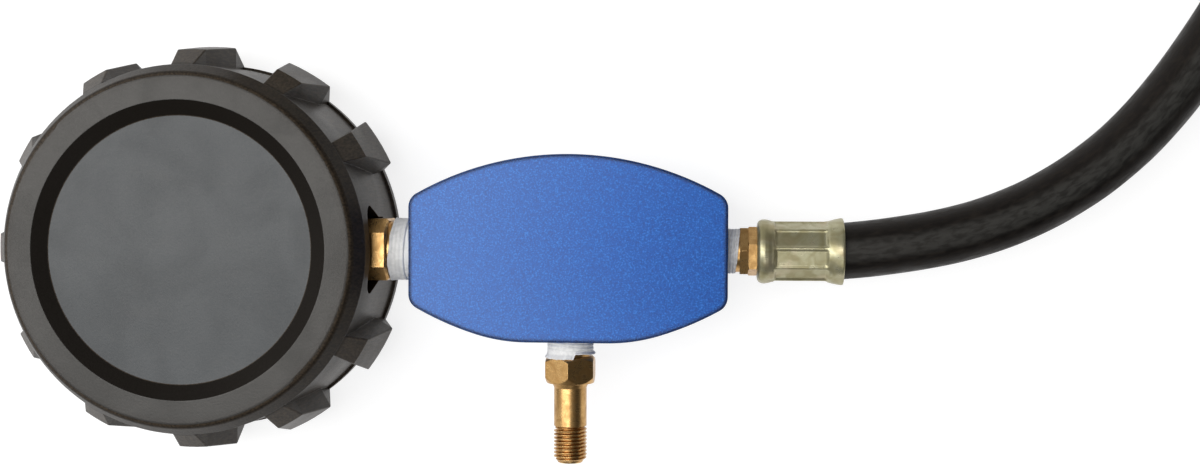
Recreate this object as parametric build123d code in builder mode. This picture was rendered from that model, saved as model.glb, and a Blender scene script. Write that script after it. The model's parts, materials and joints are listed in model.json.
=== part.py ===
from build123d import *
from math import cos, pi, radians, sin, sqrt, tan
import os

os.makedirs("parts", exist_ok=True)

# Cooling system pressure tester: a pressure gauge in a rubber boot, a drilled manifold block with a
# tank valve, and a crimped rubber hose. Millimetres. The gauge lies on its face, +X runs along the
# gauge's stem to the hose, the valve points to -Y and the boot's back looks up, to +Z.
# Outlines are lists of (distance along the axis, radius).

# Whole part
axis_height = 17.8
slip_fit = 0.05
hex_bevel_share = 0.8
running_gap = 0.06
soft_gap = 0.3
overrun = 5.0

# Case, bezel, lens and gasket of the gauge
case_radius = 35.5
case_wall = 0.8
case_back_height = 31.4
case_round = 2.5
bezel_wall = 1.7
bezel_lip = 1.2
bezel_lip_cover = 2.9
bezel_depth = 6.6
bezel_round = 0.8
gasket_thickness = 1.1
gasket_band = 2.4
lens_thickness = 1.9

# Rubber boot: how far its radii lie outside the case's or inside it, and its depths
boot_back = 3.8
disc_inset = 4.9
disc_drop = 1.5
ring_inset = 1.3
ring_reach = 4.8
ring_edge_round = 1.8
shoulder_reach = 7.0
shoulder_drop = 4.1
wall_reach = 8.2
rim_reach = 8.85
rim_step_height = 3.4
rim_step = 0.35
rim_round = 1.2
boot_edge_round = 0.6
mouth_inset = 2.3
mouth_lip = 2.6

# Lugs of the boot: reaches outside the case, half widths, and heights or depths from the boot's back
lug_places = 12
stem_lug_turns = {1: 1.8, 11: -0.7}
lug_back_reach = 11.0
lug_back_depth = 10.6
lug_front_reach = 12.85
lug_front_height = 10.5
lug_root_depth = 0.6
lug_foot_height = 1.8
lug_root_half = 2.2
lug_back_half = 3.4
lug_front_half = 5.9
lug_foot_half = 5.3
lug_edge_round = 0.35
lug_sink = 1.6

# Window in the boot's wall for the stem: heights over the stem axis
window_top = 9.3
window_half = 10.2
window_shoulder = 5.0
window_waist = -0.5
window_corner = 4.0

# Dial and pointer
dial_inset = 2.1
dial_thickness = 0.6
dial_back_height = 10.5
dial_hole_radius = 1.3
dial_screw_inset = 16.5
dial_screw_radius = 0.8
dial_screw_head_radius = 1.6
dial_screw_head = 0.6
stop_pin_radius = 0.5
stop_pin_length = 2.6
stop_pin_reach = 24.0
stop_pin_angle = 41.0
pointer_zero_angle = 45.0
pointer_length = 27.0
pointer_tail = 9.5
pointer_half = 1.1
pointer_tip_half = 0.3
pointer_tail_half = 1.9
pointer_thickness = 0.4
pointer_height = 8.2
hub_radius = 2.4
hub_height = 1.9

# Brass socket and stem
stem_square = 14.4
stem_corner = 3.2
stem_show = 1.55
stem_edge = 0.5
stem_bore = 1.5
socket_inset = 15.5
socket_half = 9.0
socket_front = 6.0
tongue_start = 6.0
tongue_half = 6.5
tongue_thickness = 3.6
case_screw_inset = 8.5
case_screw_side = 5.5
case_screw_radius = 1.3
case_screw_length = 6.0
case_screw_head_radius = 2.4
case_screw_head = 1.1

# Spring tube of the gauge
tube_inset = 7.0
tube_height = 9.0
tube_thickness = 3.0
tube_wall = 0.5
tube_bevel = 1.0
tube_tip_angle = 120.0
tube_root_angle = 348.0
tip_cap_span = 7.0
tip_cap_margin = 0.6
tip_hole_inset = 6.0
tip_tab_thickness = 1.0
tip_tab_half = 1.6

# Movement: plates, pillars, pinion and toothed sector
front_plate_height = 12.4
back_plate_height = 19.6
plate_thickness = 1.0
plate_left_inset = 5.5
plate_right_gap = 3.0
plate_half = 9.0
plate_corner = 2.5
pillar_radius = 1.3
pillar_right_inset = 10.0
pillar_left_inset = 2.5
pillar_side = 6.5
movement_screw_inset = 3.5
movement_screw_side = 4.0
movement_screw_radius = 0.8
movement_screw_head_radius = 1.5
movement_screw_head = 0.7
movement_screw_length = 3.0
sector_room = 12.5
pinion_teeth = 10
sector_teeth_round = 80
sector_teeth = 11
tooth_half_share = 0.55
tooth_flank_share = 0.36
tooth_foot_share = 1.2
pinion_start = 15.0
pinion_length = 2.2
arbor_radius = 0.6
sector_start = 15.4
sector_thickness = 1.2
sector_rim = 2.3
sector_hub_radius = 2.5
sector_arbor_radius = 0.7
sector_web_half = 1.2
sector_web_share = 0.8
tail_reach = 5.5
tail_mid_angle = 150.3
tail_half = 1.3
pointer_sweep = 270.0
link_start = 16.9
link_thickness = 0.8
link_half = 1.4
link_pin_radius = 0.6
link_pin_head_radius = 1.1
link_pin_head = 0.35
link_hole_radius = 0.8

# Hairspring round the pinion's arbor
hairspring_start = 13.9
hairspring_width = 0.5
hairspring_thickness = 0.12
hairspring_inner = 1.35
hairspring_pitch = 0.9
hairspring_half_turns = 8
collet_radius = 1.25

# Manifold block
gauge_tape_show = 5.65
block_length = 73.0
block_height = 44.4
block_end_height = 24.2
block_thickness = 19.0
block_corner = 3.6
block_edge = 0.35
block_flat_reach = 20.8
block_flat_round = 40.0
gallery_radius = 2.0

# Pipe threads, and the sealing tape on them
gauge_thread_radius = 6.5
gauge_thread_length = 13.5
side_thread_radius = 4.85
side_thread_length = 9.5
port_depth_spare = 1.5
tape_inside = 0.25
tape_outside = 0.5
tape_ridge = 0.12
tape_wraps = 4

# Tank valve: distances from the stem axis
valve_hex_start = 24.9
valve_hex_length = 6.4
valve_hex_flats = 11.2
valve_neck_radius = 4.3
valve_neck_length = 0.8
valve_body_radius = 3.85
valve_body_end = 41.5
valve_thread_radius = 3.5
valve_reach = 50.0
valve_edge = 0.45
valve_core_radius = 2.6
valve_core_depth = 14.0
valve_bore = 1.6

# Valve core: distances in from the valve's mouth
core_body_start = 1.0
core_body_length = 5.2
core_slot = 1.2
core_slot_depth = 1.4
core_hole_radius = 0.75
barrel_radius = 1.95
barrel_wall = 0.45
barrel_end = 9.8
barrel_lip = 0.8
spring_room_start = 4.8
core_gasket_length = 1.6
pin_radius = 0.55
pin_tip = 0.4
pin_collar_radius = 1.35
pin_collar = 0.5
pin_button_radius = 0.7
pin_button = 0.9
cup_radius = 1.7
cup_length = 1.4
cup_gap = 0.05
pin_end_spare = 0.5
core_spring_wire = 0.3
core_spring_radius = 1.05
core_spring_turns = 5
wire_sides = 6

# Hose end fittings
hose_tape_show = 2.55
nipple_hex_length = 2.0
nipple_hex_flats = 10.5
nipple_bore = 2.0
spigot_radius = 2.9
spigot_length = 4.0
insert_hex_length = 2.05
insert_hex_flats = 11.2
insert_hex_turn = -13.4
insert_neck_radius = 3.95
insert_tail_radius = 3.15
insert_tail_length = 17.0
insert_bore = 1.9
insert_ring = 0.25
insert_rings = 4

# Crimped ferrule: distances from its domed end
ferrule_length = 19.75
ferrule_dome_start = 5.4
ferrule_dome_radius = 7.45
ferrule_dome_at = 1.7
ferrule_dome_rise = (0.5, 6.7)
ferrule_waist_radius = 6.95
ferrule_waist_start = 4.2
ferrule_waist_end = 15.8
ferrule_mouth_radius = 7.7
ferrule_mouth_round = 0.5
insert_neck_length = 1.2
ferrule_grip_end = 16.9
ferrule_dents = 8
ferrule_dent_depth = 0.5
ferrule_dent_width = 4.1
ferrule_dent_corner = 0.9
ferrule_dent_turn = 7.0

# Hose: its section, and the corners of its free run from the ferrule's mouth to the coil
hose_radius = 6.5
hose_bore = 3.2
hose_grip_radius = 5.6
hose_rest_height = 7.8
hose_route = [(0, 0), (15.0, 0), (34.6, 4.7), (52.4, 14.8), (69.1, 29.3), (85.6, 52.3), (99.3, 77.0),
              (108.4, 107.5), (108.4, 140.5)]
hose_heights = [17.8, 17.8, 17.0, 15.9, 14.3, 12.3, 10.0, 7.8, 7.8]
coil_bends = [(74.0, 90.0), (70.0, 90.0), (70.0, -90.0)]
bend_share = 0.45

# Swivel nut on the far end of the hose
swivel_neck_radius = 3.6
swivel_neck_length = 5.2
swivel_collar_radius = 4.7
swivel_collar_length = 1.2
swivel_nose_radius = 3.1
swivel_nose_length = 2.0
nut_gap = 0.5
nut_length = 15.0
nut_flats = 14.3
nut_turn = 30.0
nut_back_wall = 4.4
nut_relief_radius = 5.3
nut_relief_length = 3.9
nut_thread_radius = 4.95
nut_mouth = 0.5

# Worked out from the sizes above
boot_depth = case_back_height + boot_back
bezel_radius = case_radius + bezel_wall
bezel_lip_radius = case_radius - bezel_lip_cover
disc_radius = case_radius - disc_inset
ring_inner_radius = case_radius - ring_inset
ring_outer_radius = case_radius + ring_reach
shoulder_radius = case_radius + shoulder_reach
wall_front_radius = case_radius + wall_reach
rim_radius = case_radius + rim_reach
mouth_radius = case_radius - mouth_inset
lug_back_radius = case_radius + lug_back_reach
lug_front_radius = case_radius + lug_front_reach
lug_back_height = boot_depth - lug_back_depth
lug_root_height = boot_depth - lug_root_depth
dial_radius = case_radius - dial_inset
case_screw_offset = case_radius - case_screw_inset
socket_start = case_radius - socket_inset
tube_radius = case_radius - tube_inset
tip_hole_reach = tube_radius - tip_hole_inset
dial_screw_offset = tube_radius - dial_screw_inset
plate_left = tube_radius - plate_left_inset
plate_right = socket_start - plate_right_gap
pillar_left = plate_left - pillar_left_inset
pillar_right = plate_right - pillar_right_inset
movement_screw_offset = plate_right - movement_screw_inset
stem_shoulder = rim_radius + stem_show
block_start = stem_shoulder + gauge_tape_show
block_end = block_start + block_length
block_middle = block_start + block_length / 2
nipple_hex_start = block_end + hose_tape_show
ferrule_start = nipple_hex_start + nipple_hex_length + insert_hex_length
hose_exit = ferrule_start + ferrule_length
gauge_x = (lug_front_radius - hose_exit) / 2
gauge_y = (valve_reach - lug_front_radius) / 2
tongue_front = back_plate_height + plate_thickness
case_inner_height = case_back_height - case_wall
bezel_back_height = mouth_lip + bezel_depth
gasket_front = mouth_lip + bezel_lip
lens_front = gasket_front + gasket_thickness
lens_back = lens_front + lens_thickness
dial_front = dial_back_height - dial_thickness
sector_pitch_radius = tube_radius - sector_room
tooth_module = 2 * sector_pitch_radius / sector_teeth_round
pinion_pitch_radius = tooth_module * pinion_teeth / 2
sector_x = -pinion_pitch_radius - sector_pitch_radius
sector_tooth_angle = 360 / sector_teeth_round
sector_rest_turn = pointer_sweep * pinion_teeth / sector_teeth_round / 2
hose_start = Vector(gauge_x + hose_exit, gauge_y, axis_height)


def axis_plane(base, along=0.0):
    """The plane that holds the axis of base: its x runs along the axis, its y is the radius."""
    return Plane(origin=base.origin + base.z_dir * along, x_dir=base.z_dir, z_dir=base.y_dir)


def turned(base, outline):
    """A solid of revolution about the axis of base."""
    with BuildPart() as piece:
        with BuildSketch(axis_plane(base)):
            with BuildLine():
                Polyline(*outline, close=True)
            make_face()
        revolve(axis=Axis(base.origin, base.z_dir))
    return piece.part


def hexagon(base, start, length, flats, turn=0.0):
    """A hexagon bar along the axis of base, both ends turned to a chamfer."""
    corner = flats / sqrt(3)
    bevel = (corner - flats / 2) * hex_bevel_share
    with BuildPart() as bar:
        with BuildSketch(base.offset(start)):
            RegularPolygon(flats / 2, 6, major_radius=False, rotation=30 + turn)
        extrude(amount=length)
        with BuildSketch(axis_plane(base)):
            with BuildLine():
                Polyline((start, 0), (start, flats / 2), (start + bevel, corner),
                         (start + length - bevel, corner), (start + length, flats / 2),
                         (start + length, 0), close=True)
            make_face()
        revolve(axis=Axis(base.origin, base.z_dir), mode=Mode.INTERSECT)
    return bar.part


def octagon_points(width, height, corner):
    """The corners of a bar's section, width along x, with its four edges cut off."""
    side, top = width / 2, height / 2
    return [(side, corner - top), (side, top - corner), (side - corner, top), (corner - side, top),
            (-side, top - corner), (-side, corner - top), (corner - side, -top), (side - corner, -top)]


def mirrored_outline(half):
    """The whole of an outline that is alike on both sides, from the points on its +x side."""
    return half + [(-x, y) for x, y in reversed(half)]


def posts(base, places, radius, length):
    """Round posts, or drillings, of one size at several places of the plane base."""
    with BuildPart() as group:
        with BuildSketch(base):
            with Locations(*places):
                Circle(radius)
        extrude(amount=length)
    return group.part


gauge_base = Plane(origin=(gauge_x, gauge_y, 0))
stem_base = Plane(origin=(gauge_x, gauge_y, axis_height), x_dir=(0, 1, 0), z_dir=(1, 0, 0))
valve_base = Plane(origin=(gauge_x + block_middle, gauge_y, axis_height), x_dir=(1, 0, 0), z_dir=(0, -1, 0))
gauge_axis = Axis(gauge_base.origin, gauge_base.z_dir)
stem_axis = Axis(stem_base.origin, stem_base.z_dir)
valve_axis = Axis(valve_base.origin, valve_base.z_dir)
case_screw_places = [(case_screw_offset, case_screw_side), (case_screw_offset, -case_screw_side)]
dial_screw_places = [(dial_screw_offset, 0), (-dial_screw_offset, 0)]
movement_screw_places = [(movement_screw_offset, movement_screw_side),
                         (movement_screw_offset, -movement_screw_side)]
pillar_places = [(pillar_right, pillar_side), (pillar_right, -pillar_side), (-pillar_left, -pillar_side)]


# Rubber boot with its lugs
lug_start = (gauge_x + shoulder_radius - lug_sink, gauge_y, 0)
lug_plane = Plane(origin=lug_start, x_dir=(0, 1, 0), z_dir=(1, 0, 0))
lug_face = [(lug_root_half, lug_root_height), (lug_back_half, lug_back_height),
            (lug_front_half, lug_front_height), (lug_foot_half, lug_foot_height)]
with BuildPart() as lug:
    with BuildSketch(lug_plane):
        with BuildLine():
            Polyline(*mirrored_outline(lug_face), close=True)
        make_face()
    extrude(amount=lug_front_radius - shoulder_radius + lug_sink + overrun)
    with BuildSketch(axis_plane(gauge_base)):
        with BuildLine():
            Polyline((lug_foot_height, 0), (lug_foot_height, rim_radius),
                     (lug_front_height, lug_front_radius), (lug_back_height, lug_back_radius),
                     (lug_root_height, ring_outer_radius), (lug_root_height, 0), close=True)
        make_face()
    revolve(axis=gauge_axis, mode=Mode.INTERSECT)
    fillet([edge for edge in lug.edges() if edge.center().X > gauge_x + shoulder_radius
            and abs(edge.center().Y - gauge_y) > lug_root_half / 2], lug_edge_round)

stem_side, stem_flat = stem_square / 2 + soft_gap, stem_square / 2 - stem_corner
window_outline = [(stem_flat, -stem_side), (stem_side, -stem_flat), (stem_side, window_waist),
                  (window_half, window_shoulder), (window_half, window_top)]
with BuildPart() as gauge_boot:
    with BuildSketch(axis_plane(gauge_base)) as boot_outline:
        with BuildLine():
            Polyline((case_back_height, 0), (boot_depth - disc_drop, 0),
                     (boot_depth - disc_drop, disc_radius), (boot_depth, ring_inner_radius),
                     (boot_depth, ring_outer_radius),
                     (boot_depth - shoulder_drop, shoulder_radius),
                     (rim_step_height + rim_step, wall_front_radius), (rim_step_height, rim_radius),
                     (0, rim_radius), (0, mouth_radius), (mouth_lip, mouth_radius),
                     (mouth_lip, bezel_radius), (bezel_back_height, bezel_radius),
                     (bezel_back_height, case_radius), (case_back_height - case_round, case_radius),
                     (case_back_height, case_radius - case_round), close=True)
        make_face()
        for corner in [(boot_depth, ring_inner_radius), (boot_depth - shoulder_drop, shoulder_radius),
                       (0, mouth_radius)]:
            fillet(boot_outline.vertices().sort_by_distance(corner)[0], boot_edge_round)
        ring_corner = (boot_depth, ring_outer_radius)
        fillet(boot_outline.vertices().sort_by_distance(ring_corner)[0], ring_edge_round)
        fillet(boot_outline.vertices().sort_by_distance((0, rim_radius))[0], rim_round)
    revolve(axis=gauge_axis)
    for place in range(1, lug_places):
        lug_angle = 360 / lug_places * place + stem_lug_turns.get(place, 0)
        add(lug.part.rotate(gauge_axis, lug_angle))
    with BuildSketch(stem_base.offset(case_radius - case_wall)) as window:
        with BuildLine():
            Polyline(*mirrored_outline(window_outline), close=True)
        make_face()
        for side_sign in (-1, 1):
            window_top_corner = (side_sign * window_half, window_top)
            fillet(window.vertices().sort_by_distance(window_top_corner)[0], window_corner)
    extrude(amount=rim_radius - case_radius + overrun, mode=Mode.SUBTRACT)
    with BuildSketch(gauge_base.offset(case_back_height)):
        with Locations((case_screw_offset, 0)):
            SlotOverall(2 * (case_screw_side + case_screw_head_radius + soft_gap),
                        2 * (case_screw_head_radius + soft_gap), rotation=90)
    extrude(amount=case_screw_head + slip_fit, mode=Mode.SUBTRACT)
gauge_boot.part.label = "gauge_boot"
export_step(gauge_boot.part, "parts/gauge_boot.step")

# Gauge case
with BuildPart() as gauge_case:
    with BuildSketch(axis_plane(gauge_base)):
        with BuildLine():
            Polyline((lens_back, case_radius), (case_back_height - case_round, case_radius),
                     (case_back_height, case_radius - case_round), (case_back_height, 0),
                     (case_inner_height, 0),
                     (case_inner_height, case_radius - case_round - case_wall / 2),
                     (case_back_height - case_round - case_wall / 2, case_radius - case_wall),
                     (lens_back, case_radius - case_wall), close=True)
        make_face()
    revolve(axis=gauge_axis)
    with BuildSketch(stem_base.offset(socket_start)):
        Polygon(*octagon_points(stem_square + 2 * slip_fit, stem_square + 2 * slip_fit, stem_corner))
    extrude(amount=case_radius, mode=Mode.SUBTRACT)
    case_drilling = gauge_base.offset(case_inner_height)
    add(posts(case_drilling, case_screw_places, case_screw_radius + slip_fit, case_wall), mode=Mode.SUBTRACT)
gauge_case.part.label = "gauge_case"
export_step(gauge_case.part, "parts/gauge_case.step")

# Bezel ring, with the lens and its gasket behind the lip
with BuildPart() as bezel:
    with BuildSketch(axis_plane(gauge_base)) as bezel_outline:
        with BuildLine():
            Polyline((mouth_lip, bezel_lip_radius), (mouth_lip, bezel_radius),
                     (bezel_back_height, bezel_radius), (bezel_back_height, case_radius + slip_fit),
                     (gasket_front, case_radius + slip_fit),
                     (gasket_front, bezel_lip_radius), close=True)
        make_face()
        fillet(bezel_outline.vertices().sort_by_distance((mouth_lip, bezel_lip_radius))[0], bezel_round)
    revolve(axis=gauge_axis)
bezel.part.label = "bezel"
export_step(bezel.part, "parts/bezel.step")

with BuildPart() as lens_gasket:
    with BuildSketch(gauge_base.offset(gasket_front)):
        Circle(case_radius - slip_fit)
        Circle(case_radius - gasket_band, mode=Mode.SUBTRACT)
    extrude(amount=gasket_thickness)
lens_gasket.part.label = "lens_gasket"
export_step(lens_gasket.part, "parts/lens_gasket.step")

with BuildPart() as lens:
    with BuildSketch(gauge_base.offset(lens_front)):
        Circle(case_radius - slip_fit)
    extrude(amount=lens_thickness)
lens.part.label = "lens"
export_step(lens.part, "parts/lens.step")

# Dial plate with its stop pin, and the two screws that hold it
with BuildPart() as dial_plate:
    with BuildSketch(gauge_base.offset(dial_front)):
        Circle(dial_radius)
        Circle(dial_hole_radius, mode=Mode.SUBTRACT)
        with Locations(*dial_screw_places):
            Circle(dial_screw_radius + slip_fit, mode=Mode.SUBTRACT)
    extrude(amount=dial_thickness)
    with BuildSketch(gauge_base.offset(dial_front)):
        with PolarLocations(stop_pin_reach, 1, start_angle=stop_pin_angle):
            Circle(stop_pin_radius)
    extrude(amount=-stop_pin_length)
dial_plate.part.label = "dial_plate"
export_step(dial_plate.part, "parts/dial_plate.step")

dial_screw_reach = front_plate_height + plate_thickness - dial_front
with BuildPart() as dial_screws:
    add(posts(gauge_base.offset(dial_front), dial_screw_places, dial_screw_head_radius, -dial_screw_head))
    add(posts(gauge_base.offset(dial_front), dial_screw_places, dial_screw_radius, dial_screw_reach))
dial_screws.part.label = "dial_screws"
export_step(dial_screws.part, "parts/dial_screws.step")

# Pointer, pressed on the end of the pinion's arbor
pointer_plane = Plane(origin=(gauge_x, gauge_y, pointer_height)).rotated((0, 0, pointer_zero_angle - 90))
with BuildPart() as pointer:
    with BuildSketch(pointer_plane):
        with BuildLine():
            Polyline(*mirrored_outline([(pointer_tail_half, -pointer_tail), (pointer_half, 0),
                                        (pointer_tip_half, pointer_length)]), close=True)
        make_face()
    extrude(amount=pointer_thickness)
    with BuildSketch(pointer_plane.offset(pointer_thickness - hub_height / 2)):
        Circle(hub_radius)
    extrude(amount=hub_height)
    with BuildSketch(pointer_plane):
        Circle(arbor_radius + slip_fit)
    extrude(amount=hub_height, mode=Mode.SUBTRACT)
pointer.part.label = "pointer"
export_step(pointer.part, "parts/pointer.step")

# Pinion, cut on its arbor, with the hairspring's collet
pinion_tooth_angle = 360 / pinion_teeth
pinion_gap_angle = 180 - pointer_sweep / 2
tooth_half = tooth_module * tooth_half_share


def tooth_points(pitch_radius):
    """One tooth as a trapezoid that points along x, from below its foot to its tip."""
    root = pitch_radius - tooth_module * tooth_foot_share - tooth_module / 2
    tip = pitch_radius + tooth_module
    root_half = tooth_half + tooth_module * tooth_foot_share * tooth_flank_share
    tip_half = tooth_half - tooth_module * tooth_flank_share
    return [(root, -root_half), (tip, -tip_half), (tip, tip_half), (root, root_half)]


with BuildPart() as pinion_arbor:
    with BuildSketch(gauge_base.offset(pinion_start)):
        Circle(pinion_pitch_radius - tooth_module * tooth_foot_share)
        first_tooth = pinion_gap_angle + pinion_tooth_angle / 2
        with PolarLocations(0, pinion_teeth, start_angle=first_tooth):
            Polygon(*tooth_points(pinion_pitch_radius), align=None)
    extrude(amount=pinion_length)
    with BuildSketch(gauge_base.offset(pointer_height)):
        Circle(arbor_radius)
    extrude(amount=tongue_front - pointer_height)
    with BuildSketch(gauge_base.offset(hairspring_start)):
        Circle(collet_radius)
    extrude(amount=hairspring_width)
pinion_arbor.part.label = "pinion_arbor"
export_step(pinion_arbor.part, "parts/pinion_arbor.step")

# Toothed sector on its own arbor, with the tail that the link pulls
sector_plane = Plane(origin=(gauge_x + sector_x, gauge_y, sector_start)).rotated((0, 0, sector_rest_turn))
tail_x = tail_reach * cos(radians(tail_mid_angle))
tail_y = tail_reach * sin(radians(tail_mid_angle))
sector_root_radius = sector_pitch_radius - tooth_module * tooth_foot_share
sector_half_angle = sector_tooth_angle * sector_teeth / 2
first_sector_tooth = -sector_tooth_angle * (sector_teeth - 1) / 2
wedge_reach = sector_pitch_radius + overrun
wedge_side = wedge_reach * tan(radians(sector_half_angle))
web_reach = sector_root_radius - sector_rim / 2
web_x = web_reach * cos(radians(sector_half_angle * sector_web_share))
web_y = web_reach * sin(radians(sector_half_angle * sector_web_share))
link_back = link_start + link_thickness
with BuildPart() as sector_gear:
    with BuildSketch(sector_plane):
        Circle(sector_root_radius)
        Circle(sector_root_radius - sector_rim, mode=Mode.SUBTRACT)
        with BuildLine():
            Polyline((0, 0), (wedge_reach, wedge_side), (wedge_reach, -wedge_side), close=True)
        make_face(mode=Mode.INTERSECT)
        with PolarLocations(0, sector_teeth, start_angle=first_sector_tooth,
                            angular_range=sector_tooth_angle * sector_teeth):
            Polygon(*tooth_points(sector_pitch_radius), align=None)
        for web_end in (web_y, -web_y):
            with BuildLine():
                Polyline((0, -sector_web_half), (web_x, web_end - sector_web_half),
                         (web_x, web_end + sector_web_half), (0, sector_web_half), close=True)
            make_face()
        Circle(sector_hub_radius)
        with BuildLine():
            Polyline((0, -tail_half), (0, tail_half), (tail_x, tail_y + tail_half),
                     (tail_x, tail_y - tail_half), close=True)
        make_face()
        with Locations((tail_x, tail_y)):
            Circle(tail_half)
    extrude(amount=sector_thickness)
    sector_arbor_plane = sector_plane.offset(front_plate_height - sector_start)
    add(posts(sector_arbor_plane, [(0, 0)], sector_arbor_radius, tongue_front - front_plate_height))
    add(posts(sector_plane, [(tail_x, tail_y)], link_pin_radius, link_back + running_gap - sector_start))
    link_pin_plane = sector_plane.offset(link_back + running_gap - sector_start)
    add(posts(link_pin_plane, [(tail_x, tail_y)], link_pin_head_radius, link_pin_head))
sector_gear.part.label = "sector_gear"
export_step(sector_gear.part, "parts/sector_gear.step")

# Link from the sector's tail to the tip of the spring tube
tail_rest = sector_plane.from_local_coords((tail_x, tail_y, 0))
tip_pivot = Vector(gauge_x + tip_hole_reach * cos(radians(tube_tip_angle)),
                   gauge_y + tip_hole_reach * sin(radians(tube_tip_angle)), 0)
link_run = Vector(tip_pivot.X - tail_rest.X, tip_pivot.Y - tail_rest.Y, 0)
link_plane = Plane(origin=(tail_rest.X, tail_rest.Y, link_start), x_dir=link_run, z_dir=(0, 0, 1))
with BuildPart() as link:
    with BuildSketch(link_plane):
        with Locations((link_run.length / 2, 0)):
            SlotCenterToCenter(link_run.length, 2 * link_half)
        Circle(link_pin_radius + running_gap, mode=Mode.SUBTRACT)
        with Locations((link_run.length, 0)):
            Circle(link_hole_radius, mode=Mode.SUBTRACT)
    extrude(amount=link_thickness)
link.part.label = "link"
export_step(link.part, "parts/link.step")


# Spring tube, bent round inside the case
def tube_section_plane(angle):
    """A plane through the gauge's axis: x is the radius at that angle, y is up."""
    out = Vector(cos(radians(angle)), sin(radians(angle)), 0)
    return Plane(origin=(gauge_x, gauge_y, axis_height), x_dir=out, z_dir=(out.Y, -out.X, 0))


tube_sweep = tube_root_angle - tube_tip_angle
with BuildPart() as bourdon_tube:
    with BuildSketch(tube_section_plane(tube_tip_angle)):
        with Locations((tube_radius, 0)):
            Polygon(*octagon_points(tube_thickness, tube_height, tube_bevel))
            Polygon(*octagon_points(tube_thickness - 2 * tube_wall, tube_height - 2 * tube_wall,
                                    tube_bevel - tube_wall / 2), mode=Mode.SUBTRACT)
    revolve(axis=gauge_axis, revolution_arc=tube_sweep)
bourdon_tube.part.label = "bourdon_tube"
export_step(bourdon_tube.part, "parts/bourdon_tube.step")

tip_tab_start = link_start + link_thickness + soft_gap
tip_side = Vector(cos(radians(tube_tip_angle)), sin(radians(tube_tip_angle)), 0)
with BuildPart() as tube_tip:
    with BuildSketch(tube_section_plane(tube_tip_angle)):
        with Locations((tube_radius, 0)):
            Rectangle(tube_thickness + tip_cap_margin, tube_height + tip_cap_margin)
    revolve(axis=gauge_axis, revolution_arc=-tip_cap_span)
    with BuildSketch(Plane(origin=(gauge_x, gauge_y, tip_tab_start), x_dir=tip_side, z_dir=(0, 0, 1))):
        with Locations(((tip_hole_reach + tube_radius) / 2, -tip_tab_half)):
            Rectangle(tube_radius - tip_hole_reach, 2 * tip_tab_half)
        with Locations((tip_hole_reach, 0)):
            Circle(tip_tab_half)
            Circle(link_hole_radius, mode=Mode.SUBTRACT)
    extrude(amount=tip_tab_thickness)
tube_tip.part.label = "tube_tip"
export_step(tube_tip.part, "parts/tube_tip.step")

# Brass socket: block in the case, square stem through its wall, pipe thread
thread_end = block_start + gauge_thread_length
socket_back_radius = case_radius - case_round - case_wall / 2
socket_end = sqrt(socket_back_radius ** 2 - socket_half ** 2) - slip_fit
tube_root_x = gauge_x + tube_radius * cos(radians(tube_root_angle))
tube_root_side = tube_radius * sin(radians(tube_root_angle))
cross_plane = Plane(origin=(tube_root_x, gauge_y, axis_height), x_dir=(1, 0, 0), z_dir=(0, -1, 0))
with BuildPart() as gauge_socket:
    with BuildSketch(gauge_base.offset(axis_height - socket_front)):
        with Locations(((socket_start + socket_end) / 2, 0)):
            Rectangle(socket_end - socket_start, 2 * socket_half)
    extrude(amount=case_inner_height - axis_height + socket_front)
    with BuildSketch(gauge_base.offset(tongue_front)):
        with Locations(((tongue_start + socket_start) / 2, 0)):
            Rectangle(socket_start - tongue_start, 2 * tongue_half)
    extrude(amount=tongue_thickness)
    with BuildSketch(stem_base.offset(socket_start)):
        Polygon(*octagon_points(stem_square, stem_square, stem_corner))
    extrude(amount=stem_shoulder - socket_start)
    chamfer(gauge_socket.faces().sort_by(Axis.X)[-1].edges(), stem_edge)
    with BuildSketch(stem_base.offset(stem_shoulder)):
        Circle(gauge_thread_radius)
    extrude(amount=thread_end - stem_shoulder)
    chamfer(gauge_socket.faces().sort_by(Axis.X)[-1].edges(), stem_edge)
    add(posts(stem_base.offset(tube_radius), [(0, 0)], stem_bore, thread_end - tube_radius),
        mode=Mode.SUBTRACT)
    add(posts(cross_plane, [(0, 0)], tube_thickness / 2 - tube_wall, -tube_root_side), mode=Mode.SUBTRACT)
    with BuildSketch(tube_section_plane(tube_root_angle)):
        with Locations((tube_radius, 0)):
            Polygon(*octagon_points(tube_thickness, tube_height, tube_bevel))
    revolve(axis=gauge_axis, revolution_arc=-tube_sweep / 4, mode=Mode.SUBTRACT)
    add(posts(case_drilling, case_screw_places, case_screw_radius, -case_screw_length), mode=Mode.SUBTRACT)
    add(posts(gauge_base.offset(tongue_front), movement_screw_places, movement_screw_radius,
              movement_screw_length), mode=Mode.SUBTRACT)
gauge_socket.part.label = "gauge_socket"
export_step(gauge_socket.part, "parts/gauge_socket.step")

with BuildPart() as case_screws:
    add(posts(case_drilling.offset(-case_screw_length), case_screw_places, case_screw_radius,
              case_screw_length + case_wall))
    add(posts(case_drilling.offset(case_wall), case_screw_places, case_screw_head_radius, case_screw_head))
case_screws.part.label = "case_screws"
export_step(case_screws.part, "parts/case_screws.step")

# Movement plates, the pillars between them and the screws into the socket's tongue
plate_middle = (plate_right - plate_left) / 2
boss_length = front_plate_height - dial_back_height
pillar_length = back_plate_height - front_plate_height - plate_thickness


def movement_plate(height):
    """One plate of the movement, with the bearing holes of the pinion and the sector."""
    with BuildPart() as plate:
        with BuildSketch(gauge_base.offset(height)):
            with Locations((plate_middle, 0)):
                RectangleRounded(plate_left + plate_right, 2 * plate_half, plate_corner)
            Circle(arbor_radius + running_gap, mode=Mode.SUBTRACT)
            with Locations((sector_x, 0)):
                Circle(sector_arbor_radius + running_gap, mode=Mode.SUBTRACT)
        extrude(amount=plate_thickness)
    return plate.part


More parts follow.
